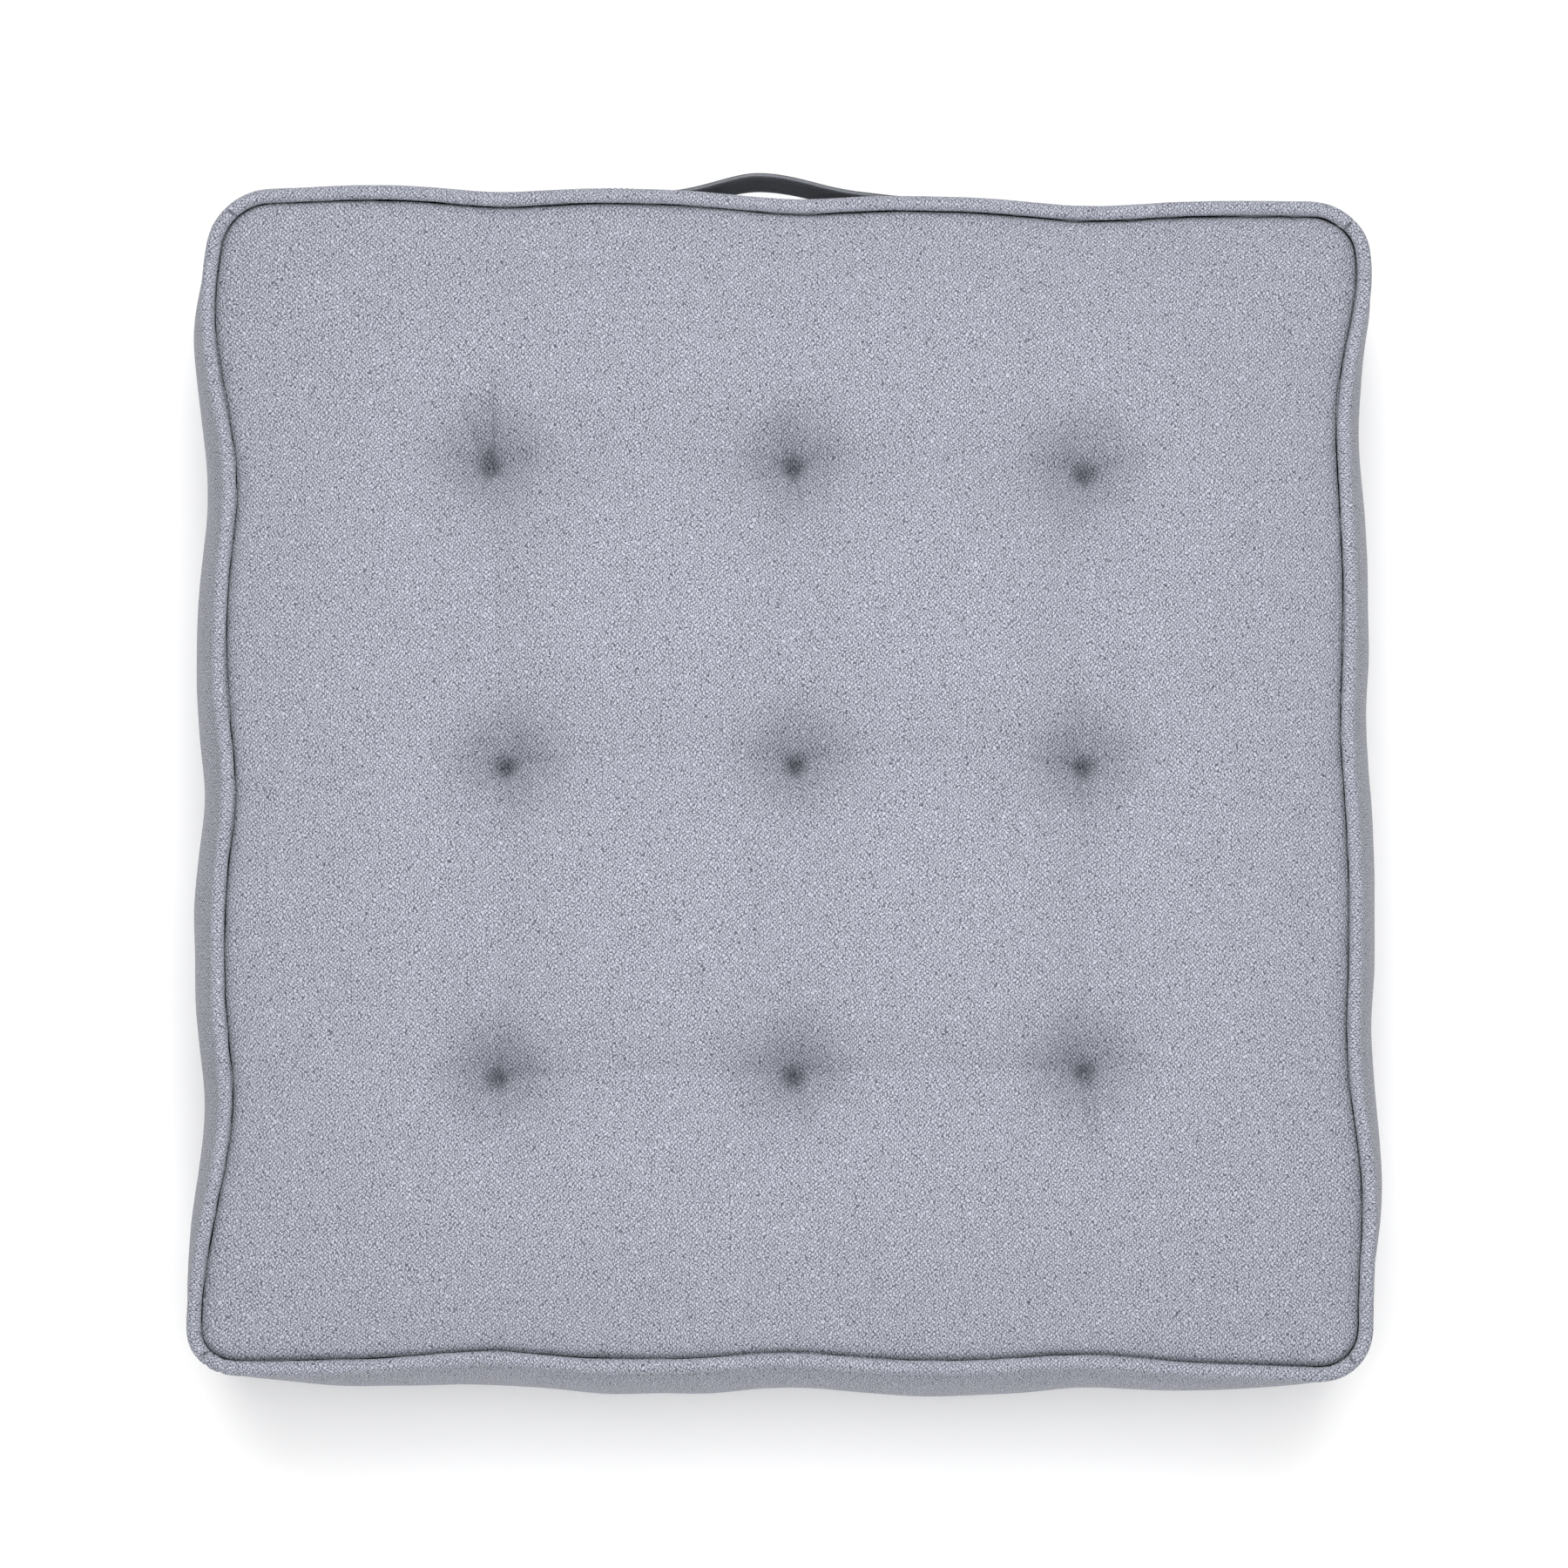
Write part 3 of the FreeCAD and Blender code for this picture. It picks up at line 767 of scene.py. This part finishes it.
def border_piece(name, points, layout, first, last, seed):
    """One side of the border, from corner seam to corner seam."""
    arc = layout["arc"]
    count = layout["border"].shape[1]
    columns = np.arange(first, last + 1) % count
    index = layout["border"][:, columns]
    heights = np.linspace(0, TOP_SEAM_Z - BOTTOM_SEAM_Z, len(index))
    start, end = arc[first], arc[last]
    pattern = np.stack(np.meshgrid(arc[first : last + 1], heights), -1)
    piece = mesh_object(name, points[index.ravel()], strip_faces(*index.shape), pattern.reshape(-1, 2))
    subdivide(piece, 2)
    pattern = pattern_of(piece)
    moved = points_of(piece)
    outwards = np.vstack([layout["direction"], layout["direction"][:1]])
    direction = np.stack([np.interp(pattern[:, 0], arc, outwards[:, k]) for k in range(2)], -1)
    drop = np.minimum(pattern[:, 1], heights[-1] - pattern[:, 1])
    to_corner = np.minimum(pattern[:, 0] - start, end - pattern[:, 0])
    relief = ALLOWANCE_RIDGE * bell(drop - ALLOWANCE_WIDTH, ALLOWANCE_SOFTNESS)
    valley = np.exp(-to_corner.clip(0) / CORNER_SEAM_WIDTH) * np.clip(drop / CORNER_FADE, 0, 1)
    relief -= CORNER_SEAM_DEPTH * valley
    free = np.clip(to_corner / CORNER_FADE, 0, 1)
    gather = lattice_noise(pattern * [1, 0.12], 8 * MM, seed)
    gather += 0.5 * lattice_noise(pattern * [1, 0.2], 4 * MM, seed)
    relief += PUCKER_DEPTH * gather * np.exp(-drop / BORDER_PUCKER_REACH) * free
    lump = lattice_noise(pattern, BORDER_LUMP_SIZE, seed + 3) * np.clip(drop / BORDER_LUMP_FADE, 0, 1)
    relief += BORDER_LUMP_HEIGHT * lump * free
    moved[:, :2] += unit(direction) * relief[:, None]
    set_points(piece, moved)
    return piece


# ---- welts
def corner_place(path, arc, side):
    """The place along a closed path that is furthest out at one corner."""
    return arc[(path[:, :2] * side).sum(-1).argmax()]


def ring_gap(arc, place):
    """How far each place of a closed path lies past one place, the short way round."""
    total = arc[-1] + (arc[1] - arc[0])
    return (arc - place + total / 2) % total - total / 2


def finer_at_corners(path):
    """The closed path with more points at its corners, and each point's place along it."""
    coarse = np.arange(len(path) + 1) * WELT_STEP
    near = np.arange(-WELT_SLIT_REACH, WELT_SLIT_REACH, WELT_SLIT_STEP)
    places = [coarse[:-1]] + [corner_place(path, coarse, side) + near for side in CORNERS]
    arc = np.unique(np.concatenate(places).round(5))
    arc = arc[(arc >= 0) & (arc <= coarse[-2])]
    ring = np.vstack([path, path[:1]])
    return np.stack([np.interp(arc, coarse, ring[:, k]) for k in range(3)], -1), arc


def corner_creases(path, arc, angle, seed):
    """Each corner's folds and lapped slit, and the two lines of the welt's join."""
    rng = np.random.default_rng(seed)
    relief = np.zeros((len(path), len(angle)))
    inner_side = bell(angle - 2.2, 1.1)
    upper_side = bell(angle - 1.9, 1.0)
    for side in CORNERS:
        at = corner_place(path, arc, side)
        for offset in WELT_FOLD_OFFSETS:
            place = at + (offset + rng.uniform(-1.5, 1.5)) * MM
            depth = rng.uniform(0.15, 0.45) * MM
            relief -= depth * bell(ring_gap(arc, place), WELT_FOLD_WIDTH)[:, None] * inner_side
        slant = rng.uniform(-0.6, 0.6) * MM * (angle - 1.6)
        past = ring_gap(arc, at)[:, None] - slant
        relief -= WELT_NOTCH_DEPTH * bell(past, WELT_NOTCH_WIDTH) * upper_side
        relief += WELT_LAP_HEIGHT * (past > 0) * np.exp(-past.clip(0) / WELT_LAP_REACH) * upper_side
    join = corner_place(path, arc, CORNERS[0]) + WELT_JOIN_INSET
    for offset in (-WELT_JOIN_HALF, WELT_JOIN_HALF):
        relief -= WELT_JOIN_DEPTH * bell(ring_gap(arc, join + offset), WELT_JOIN_WIDTH)[:, None]
    return relief


def welt_radii(path, arc, angle, seed):
    """The welt's radius at each place and angle, with creases and sewing dents."""
    grid = np.stack(np.broadcast_arrays(arc[:, None], angle[None, :] * WELT_RADIUS), -1)
    uneven = 0.02 * lattice_noise(grid, 9 * MM, seed + 2) + 0.012 * lattice_noise(grid, 3 * MM, seed + 3)
    dents = np.sin(arc / WELT_DENT_PITCH * 2 * math.pi)[:, None] > 0.6
    sewn_side = bell(angle - math.pi, 0.7)
    creases = corner_creases(path, arc, angle, seed)
    return WELT_RADIUS * (1 + uneven) + creases - WELT_DENT * dents * sewn_side


def wrapped(index, count):
    """Face corners' grid numbers, where a ring's last face ends at count and not back at 0."""
    last = index.max(1, keepdims=True) == count - 1
    return np.where((index == 0) & last, count, index)


def welt_pattern(faces, arc):
    """Pattern coordinates of each face corner: along the welt and round it."""
    station, side = np.unravel_index(faces, (len(arc), WELT_SIDES))
    along = np.append(arc, arc[-1] + WELT_STEP)[wrapped(station, len(arc))]
    around = wrapped(side, WELT_SIDES) * WELT_RADIUS * 2 * math.pi / WELT_SIDES
    return np.stack([along, around], -1).reshape(-1, 2)


def piping_piece(name, seam_points, up, seed):
    """The welt: a cord in a strip of the cloth, sewn all round a seam."""
    path = resample(seam_points, WELT_STEP, True)
    for _ in range(WELT_PATH_ROUNDS):
        path = smoothed(path)
    path, arc = finer_at_corners(path)
    out = outward(path[:, :2])
    for _ in range(WELT_DIRECTION_ROUNDS):
        out = unit(smoothed(out))
    out = np.concatenate([out, np.zeros((len(out), 1))], -1)
    lengthwise = np.stack([arc, np.zeros_like(arc)], -1)
    centre = path + out * (WELT_OFFSET + 0.25 * MM * lattice_noise(lengthwise, 30 * MM, seed))[:, None]
    centre[:, 2] += 0.3 * MM * lattice_noise(lengthwise, 42 * MM, seed + 1)
    angle = np.arange(WELT_SIDES) / WELT_SIDES * 2 * math.pi
    radius = welt_radii(path, arc, angle, seed)
    rings = centre[:, None, :] + out[:, None, :] * (radius * np.cos(angle))[..., None]
    rings[..., 2] += radius * np.sin(angle) * up
    faces = strip_faces(len(path), WELT_SIDES, True, True)
    faces = faces if up > 0 else faces[:, ::-1]
    return mesh_object(name, rings.reshape(-1, 3), faces, welt_pattern(faces, arc))


# ---- tufting twine
def tube(path, radius, sides, closed):
    """A round tube along path. Returns points and faces."""
    tangent = np.roll(path, -1, 0) - np.roll(path, 1, 0) if closed else np.gradient(path, axis=0)
    tangent = unit(tangent)
    across = np.zeros_like(path)
    side = np.cross(tangent[0], [0.3, 0.9, 0.2])
    for k, t in enumerate(tangent):
        side = side - t * (side @ t)
        side = side / np.linalg.norm(side)
        across[k] = side
    third = np.cross(tangent, across)
    angle = np.arange(sides) / sides * 2 * math.pi
    ring = across[:, None, :] * np.cos(angle)[:, None] + third[:, None, :] * np.sin(angle)[:, None]
    points = (path[:, None, :] + ring * np.reshape(radius, (-1, 1, 1))).reshape(-1, 3)
    return points, strip_faces(len(path), sides, True, True) if closed else capped_faces(len(path), sides)


def joined(name, parts):
    """One mesh object from several (points, faces) parts."""
    points, faces = [], []
    for part_points, part_faces in parts:
        faces += [tuple(int(k) + len(points) for k in face) for face in part_faces]
        points += [tuple(p) for p in part_points]
    points = np.array(points)
    return mesh_object(name, points, faces, points[:, [0, 2]] + points[:, [1, 1]])


def twine_piece(name, centre, top_z, bottom_z):
    """Two-ply twine that goes through the cushion, with a short stitch showing in the dimple at each end."""
    bend = np.linspace(0, math.pi, 9)
    across = -TWINE_HALF_STITCH * np.cos(bend)
    arch = TWINE_RISE * np.sin(bend) - TWINE_SUNK
    over = np.stack([0 * bend, across, top_z + arch], -1)
    under = np.stack([0 * bend, -across, bottom_z - arch], -1)
    line = resample(np.vstack([over, under]) + [centre[0], centre[1], 0], TWINE_STEP, True)
    turns = np.arange(len(line)) / len(line) * 2 * math.pi * TWINE_TURNS
    tangent = unit(np.roll(line, -1, 0) - np.roll(line, 1, 0))
    first = np.broadcast_to([1.0, 0, 0], line.shape)
    second = np.cross(tangent, first)
    parts = []
    for phase in (0, math.pi):
        away = first * np.cos(turns + phase)[:, None] + second * np.sin(turns + phase)[:, None]
        parts.append(tube(line + PLY_OFFSET * away, PLY_RADIUS, PLY_SIDES, True))
    return joined(name, parts)


# ---- carrying strap
def outer_surface_y(tree, x, z):
    """Where a line from behind the cushion meets the border or the strap."""
    hit = tree.ray_cast(Vector((float(x), cad_high.y + 0.05, float(z))), Vector((0, -1, 0)))
    return hit[0].y


def strap_line(tree):
    """The strap's middle line, arched between its sewn ends, and how far it has risen."""
    grip_low, grip_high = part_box("handle_strap")
    middle_z = (grip_low.z + grip_high.z) / 2
    sewn_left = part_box("handle_stitches_left")[1].x + SEWN_MARGIN
    sewn_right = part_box("handle_stitches_right")[0].x - SEWN_MARGIN
    xs = np.linspace(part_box("handle_end_left")[0].x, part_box("handle_end_right")[1].x, STRAP_STATIONS)
    base = [max(outer_surface_y(tree, x, middle_z + dz) for dz in (-9 * MM, 0, 9 * MM)) for x in xs]
    average = 9
    base = np.convolve(np.pad(base, average // 2, mode="edge"), np.ones(average) / average, mode="valid")
    base += STRAP_CLEARANCE + STRAP_THICKNESS / 2
    rising = np.clip((xs - sewn_left) / (STRAP_PEAK_X - sewn_left), 0, 1)
    falling = np.clip((sewn_right - xs) / (sewn_right - STRAP_PEAK_X), 0, 1)
    lift = np.minimum(rising, falling)
    lift = (lift * lift * (3 - 2 * lift)) ** STRAP_ARCH_POWER
    peak_y = STRAP_PEAK_INNER_Y + STRAP_THICKNESS / 2
    line = np.stack([xs, base * (1 - lift) + peak_y * lift, np.full_like(xs, middle_z)], -1)
    return line, lift


def strap_piece(tree):
    """Flat webbing with rounded, slightly thicker selvedges. Returns the piece and its middle line."""
    low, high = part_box("handle_strap")
    half = (high.z - low.z) / 2
    line, lift = strap_line(tree)
    tangent = unit(np.gradient(line, axis=0))
    normal = np.cross(tangent, [0, 0, 1.0])
    normal *= np.sign(normal[:, 1:2])
    edge = STRAP_THICKNESS / 2
    across = np.linspace(-half + edge, half - edge, STRAP_SECTION_POINTS)
    cap = np.linspace(-math.pi / 2, math.pi / 2, 7)[1:-1]
    outer = [(z, edge) for z in across]
    top = [(half - edge + edge * math.cos(a), -edge * math.sin(a)) for a in cap]
    inner = [(z, -edge) for z in across[::-1]]
    bottom = [(-half + edge - edge * math.cos(a), edge * math.sin(a)) for a in cap]
    section = np.array(outer + top + inner + bottom)
    section[:, 1] *= 1 + SELVEDGE_SWELL * bell(np.abs(section[:, 0]) - half + SELVEDGE_INSET, SELVEDGE_WIDTH)
    rings = line[:, None, :] + normal[:, None, :] * section[None, :, 1:2]
    rings[..., 1] += math.tan(STRAP_LEAN) * lift[:, None] * section[None, :, 0]
    rings[..., 2] += section[None, :, 0]
    faces = capped_faces(len(line), len(section))
    uv = np.stack(np.broadcast_arrays(arc_lengths(line)[:, None], section[None, :, 0]), -1)
    return mesh_object("carry_strap", rings.reshape(-1, 3), faces, uv.reshape(-1, 2)), line


def stitch_run(start, end, strap_tree):
    """Short thread stitches in a row between two points on the strap's outer face."""
    start, end = np.array(start), np.array(end)
    count = max(2, int(round(np.linalg.norm(end - start) / THREAD_PITCH)))
    arch = np.sin(np.linspace(0, math.pi, 7))
    parts = []
    for k in range(count):
        t = np.linspace((k + 0.08) / count, (k + 0.92) / count, len(arch))[:, None]
        flat = start + (end - start) * t
        y = np.array([outer_surface_y(strap_tree, x, z) for x, z in flat]) - THREAD_SUNK + THREAD_ARCH * arch
        path = np.stack([flat[:, 0], y, flat[:, 1]], -1)
        parts.append(tube(path, THREAD_RADIUS * (0.75 + 0.25 * arch), PLY_SIDES, False))
    return parts


def stitching_piece(name, node, strap_tree):
    """A stitched box with a cross inside it, on one sewn end of the strap."""
    low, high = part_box(node)
    a, b, c, d = (low.x, low.z), (high.x, low.z), (high.x, high.z), (low.x, high.z)
    parts = []
    for start, end in ((a, b), (b, c), (c, d), (d, a), (a, c), (b, d)):
        parts += stitch_run(start, end, strap_tree)
    return joined(name, parts)


# ---- materials
class Material:
    """A small builder for a material's nodes."""

    def __init__(self, name):
        self.material = bpy.data.materials.new(name)
        self.material.use_nodes = True
        self.nodes = self.material.node_tree.nodes
        self.links = self.material.node_tree.links
        self.shader = self.nodes["Principled BSDF"]

    def put(self, socket, value):
        if isinstance(value, bpy.types.NodeSocket):
            self.links.new(value, socket)
        else:
            socket.default_value = value

    def set(self, name, value):
        self.put(self.shader.inputs[name], value)

    def node(self, kind, inputs, **settings):
        node = self.nodes.new("ShaderNode" + kind)
        for name, value in settings.items():
            setattr(node, name, value)
        for name, value in inputs.items():
            self.put(node.inputs[name], value)
        return node.outputs

    def math(self, operation, *values):
        return self.node("Math", dict(enumerate(values)), operation=operation)[0]

    def vector(self, operation, a, b):
        return self.node("VectorMath", {0: a, 1: b}, operation=operation)[0]

    def uv(self):
        return self.node("UVMap", {}, uv_map=UV_NAME)[0]

    def place(self):
        return self.node("TexCoord", {})["Object"]

    def split(self, vector):
        return self.node("SeparateXYZ", {0: vector})

    def noise(self, vector, scale, detail=2.0, roughness=0.5, output=0):
        inputs = {"Vector": vector, "Scale": scale, "Detail": detail, "Roughness": roughness}
        return self.node("TexNoise", inputs)[output]

    def mix(self, factor, a, b):
        """Between two colours."""
        return self.node("Mix", {0: factor, 6: a, 7: b}, data_type="RGBA")[2]

    def blend(self, factor, a, b):
        """Between two numbers."""
        return self.node("Mix", {0: factor, 2: a, 3: b})[0]

    def bump(self, height, distance):
        self.set("Normal", self.node("Bump", {"Height": height, "Distance": distance})[0])

    def wandered(self, vector, cell, reach):
        """vector moved about smoothly, by well under reach, over cells of this size."""
        cloud = self.noise(vector, 1 / cell, 1.0, output="Color")
        offset = self.vector("SUBTRACT", cloud, (0.5, 0.5, 0.5))
        return self.vector("ADD", vector, self.vector("MULTIPLY", offset, (reach, reach, 0)))

    def plain_weave(self, vector, pitch, wander):
        """A weave's height from about 0 to 1.5, 1 where the warp is on top, and its thread coordinates."""
        moved = self.wandered(vector, 14 * pitch, wander * pitch)
        moved = self.wandered(moved, 2.6 * pitch, wander * pitch)
        threads = self.node("VectorMath", {0: moved, "Scale": 1 / pitch}, operation="SCALE")[0]
        u, v, _ = self.split(threads)
        across = self.math("SINE", self.math("MULTIPLY", u, math.pi))
        down = self.math("SINE", self.math("MULTIPLY", v, math.pi))
        over = self.math("MULTIPLY", down, self.math("SIGN", across))
        under = self.math("MULTIPLY", across, self.math("SIGN", down))
        warp = self.math("ADD", self.math("ABSOLUTE", across), self.math("MULTIPLY", over, 0.55))
        weft = self.math("SUBTRACT", self.math("ABSOLUTE", down), self.math("MULTIPLY", under, 0.55))
        return self.math("MAXIMUM", warp, weft), self.math("GREATER_THAN", warp, weft), threads


def cloth_material(name):
    """Slubby plain-weave cloth in the cover's colours, from the pattern coordinates."""
    m = Material(name)
    uv = m.uv()
    height, warp_on_top, threads = m.plain_weave(uv, WEAVE_PITCH, WEAVE_WANDER)
    warp_streak = m.noise(m.vector("MULTIPLY", threads, (0.8, 0.05, 1)), 1.0, 1.0)
    weft_streak = m.noise(m.vector("MULTIPLY", threads, (0.05, 0.8, 1)), 1.0, 1.0)
    streak = m.blend(warp_on_top, weft_streak, warp_streak)
    grain = m.noise(threads, 1.6, 0.0)
    mottle = m.noise(uv, 28.0, 3.0, 0.55)
    tone = 0.5
    shares = ((height, 0.95, 0.68), (warp_on_top, 0.5, 0.82), (streak, 0.5, 0.5), (grain, 0.5, 1.9),
              (mottle, 0.5, 0.06))
    for value, middle, strength in shares:
        share = m.math("MULTIPLY", m.math("SUBTRACT", value, middle), strength)
        tone = m.math("ADD", tone, share)
    m.set("Base Color", m.mix(tone, CLOTH_DARK, CLOTH_LIGHT))
    m.set("Roughness", m.math("MULTIPLY_ADD", grain, 0.12, 0.82))
    m.set("Sheen Weight", 0.12)
    m.set("Sheen Roughness", 0.5)
    m.set("Specular IOR Level", 0.25)
    relief = m.math("ADD", m.math("MULTIPLY", height, 0.5), m.math("MULTIPLY", streak, 0.5))
    relief = m.math("ADD", relief, m.math("MULTIPLY", grain, 0.9))
    m.bump(relief, 0.13 * MM)
    return m.material


def webbing_material(name):
    """Dark ribbed webbing with paler lines of stitching near its edges, and a painted highlight along the
    very tip of each edge.
    """
    m = Material(name)
    uv = m.uv()
    low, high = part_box("handle_strap")
    half = (high.z - low.z) / 2
    height, _, threads = m.plain_weave(uv, WEBBING_PITCH, 1.0)
    width = m.split(uv)[1]
    fibre = m.noise(m.vector("MULTIPLY", threads, (0.25, 1.2, 1)), 1.0, 3.0, 0.6)
    tone = m.math("MULTIPLY_ADD", height, 0.4, m.math("MULTIPLY", fibre, 0.5))
    body = m.mix(tone, WEBBING_DARK, WEBBING_LIGHT)
    edge = m.math("SUBTRACT", m.math("ABSOLUTE", width), half - WEBBING_LINE_INSET)
    line = m.math("LESS_THAN", m.math("ABSOLUTE", edge), WEBBING_LINE_HALF)
    # Painted highlight: a thin pale line along the very top and bottom tip of the strap's edges
    painted_edge_highlight = m.math("GREATER_THAN", m.math("ABSOLUTE", width), half - 0.1 * MM)
    pale = m.math("MULTIPLY", m.math("MAXIMUM", line, painted_edge_highlight), 0.7)
    m.set("Base Color", m.mix(pale, body, WEBBING_STITCH_AND_HIGHLIGHT))
    m.set("Roughness", m.math("MULTIPLY_ADD", fibre, 0.2, 0.55))
    m.set("Sheen Weight", 0.04)
    m.set("Specular IOR Level", 0.3)
    m.bump(height, 0.2 * MM)
    return m.material


def thread_material(name, light, dark):
    """Spun thread with fine fibres along it."""
    m = Material(name)
    fibre = m.noise(m.vector("MULTIPLY", m.place(), (1, 1, 2.5)), 2600.0, 2.0, 0.6)
    m.set("Base Color", m.mix(fibre, dark, light))
    m.set("Roughness", m.math("MULTIPLY_ADD", fibre, 0.2, 0.5))
    m.bump(fibre, 0.08 * MM)
    return m.material


def floor_material():
    m = Material("pale_floor")
    cloud = m.noise(m.place(), 1.5, 3.0, 0.5)
    m.set("Base Color", m.mix(cloud, FLOOR_DARK, FLOOR_LIGHT))
    m.set("Roughness", m.math("MULTIPLY_ADD", cloud, 0.1, 0.75))
    return m.material


# ---- scene
def dress(piece, material):
    piece.data.materials.append(material)


def make_cushion():
    layout = cover_layout()
    points = sewn_cover(layout)
    cover_cloth = cloth_material("slub_cloth")
    top = panel_piece("seat_cloth", points, layout["top"], layout["plan"], 1, 2, SEED)
    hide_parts("top_panel", "filling")
    bottom = panel_piece("base_cloth", points, layout["bottom"], layout["plan"], -1, 1, SEED + 20)
    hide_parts("bottom_panel")
    turns = np.cumsum([0, CELLS_ACROSS, CELLS_DEEP, CELLS_ACROSS, CELLS_DEEP])
    borders = {}
    for k, side in enumerate(("front", "right", "back", "left")):
        piece = border_piece(f"side_cloth_{side}", points, layout, turns[k], turns[k + 1], SEED + 30 + k)
        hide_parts(f"border_{side}")
        borders[side] = piece
    for piece in (top, bottom, *borders.values()):
        dress(piece, cover_cloth)
        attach(piece, "root")
    welt_cloth = cloth_material("welt_cloth")
    for level, row, up in (("top", -1, 1), ("bottom", 0, -1)):
        welt = piping_piece(f"piping_{level}", points[layout["border"][row]], up, SEED + 40 + row)
        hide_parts(f"{level}_welt_cover", f"{level}_welt_cord")
        dress(welt, welt_cloth)
        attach(welt, "root")
    return top, bottom, borders


def make_tufts(top, bottom):
    twine = thread_material("waxed_twine", TWINE_LIGHT, TWINE_DARK)
    over, under = surface_tree(top), surface_tree(bottom)
    for name, centre in zip(TUFT_NAMES, TUFTS):
        above = Vector((*centre, cad_high.z + 0.1))
        below = Vector((*centre, cad_low.z - 0.1))
        top_z = over.ray_cast(above, Vector((0, 0, -1)))[0].z
        bottom_z = under.ray_cast(below, Vector((0, 0, 1)))[0].z
        piece = twine_piece(f"tuft_stitch_{name}", centre, top_z, bottom_z)
        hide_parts(f"tuft_twine_{name}")
        dress(piece, twine)
        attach(piece, "root")


def make_strap(back_border):
    strap, line = strap_piece(surface_tree(back_border))
    dress(strap, webbing_material("strap_webbing_weave"))
    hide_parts("handle_strap", "handle_end_left", "handle_end_right")
    strap_tree = surface_tree(strap)
    thread = thread_material("strap_sewing_thread", THREAD_LIGHT, THREAD_DARK)
    for side in ("left", "right"):
        node = f"handle_stitches_{side}"
        piece = stitching_piece(f"strap_stitching_{side}", node, strap_tree)
        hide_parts(node)
        dress(piece, thread)
        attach(piece, "root")
    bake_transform(strap)


def make_surroundings():
    corners = [(x * FLOOR_HALF, y * FLOOR_HALF, 0) for x, y in CORNERS]
    floor = mesh_object("floor", corners, [(0, 1, 2, 3)])
    floor.data.materials.append(floor_material())
    world = bpy.data.worlds.new("soft_room")
    bpy.context.scene.world = world
    world.use_nodes = True
    background = world.node_tree.nodes["Background"].inputs
    background["Color"].default_value = (1, 1, 1, 1)
    background["Strength"].default_value = ROOM_BRIGHTNESS
    for lamp in LAMPS:
        add_light(*lamp)
    bpy.context.scene.view_settings.view_transform = "Standard"


def add_light(name, place, size, energy):
    light = bpy.data.lights.new(name, "AREA")
    light.size = size
    light.energy = energy
    lamp = bpy.data.objects.new(name, light)
    bpy.context.scene.collection.objects.link(lamp)
    lamp.visible_camera = False
    lamp.location = place
    lamp.rotation_mode = "QUATERNION"
    lamp.rotation_quaternion = (Vector((0, 0, MIDDLE_Z)) - lamp.location).to_track_quat("-Z", "Y")


def make_camera():
    """The camera looks down from just in front of straight above."""
    data = bpy.data.cameras.new("camera")
    data.lens = CAMERA_LENS
    data.sensor_width = CAMERA_SENSOR
    camera = bpy.data.objects.new("camera", data)
    bpy.context.scene.collection.objects.link(camera)
    away = Vector((0, -math.sin(CAMERA_TILT), math.cos(CAMERA_TILT)))
    camera.location = CAMERA_AIM + away * CAMERA_DISTANCE
    camera.rotation_euler = (CAMERA_TILT, 0, 0)
    bpy.context.scene.camera = camera


make_camera()
make_surroundings()
seat, base, sides = make_cushion()
make_tufts(seat, base)
make_strap(sides["back"])
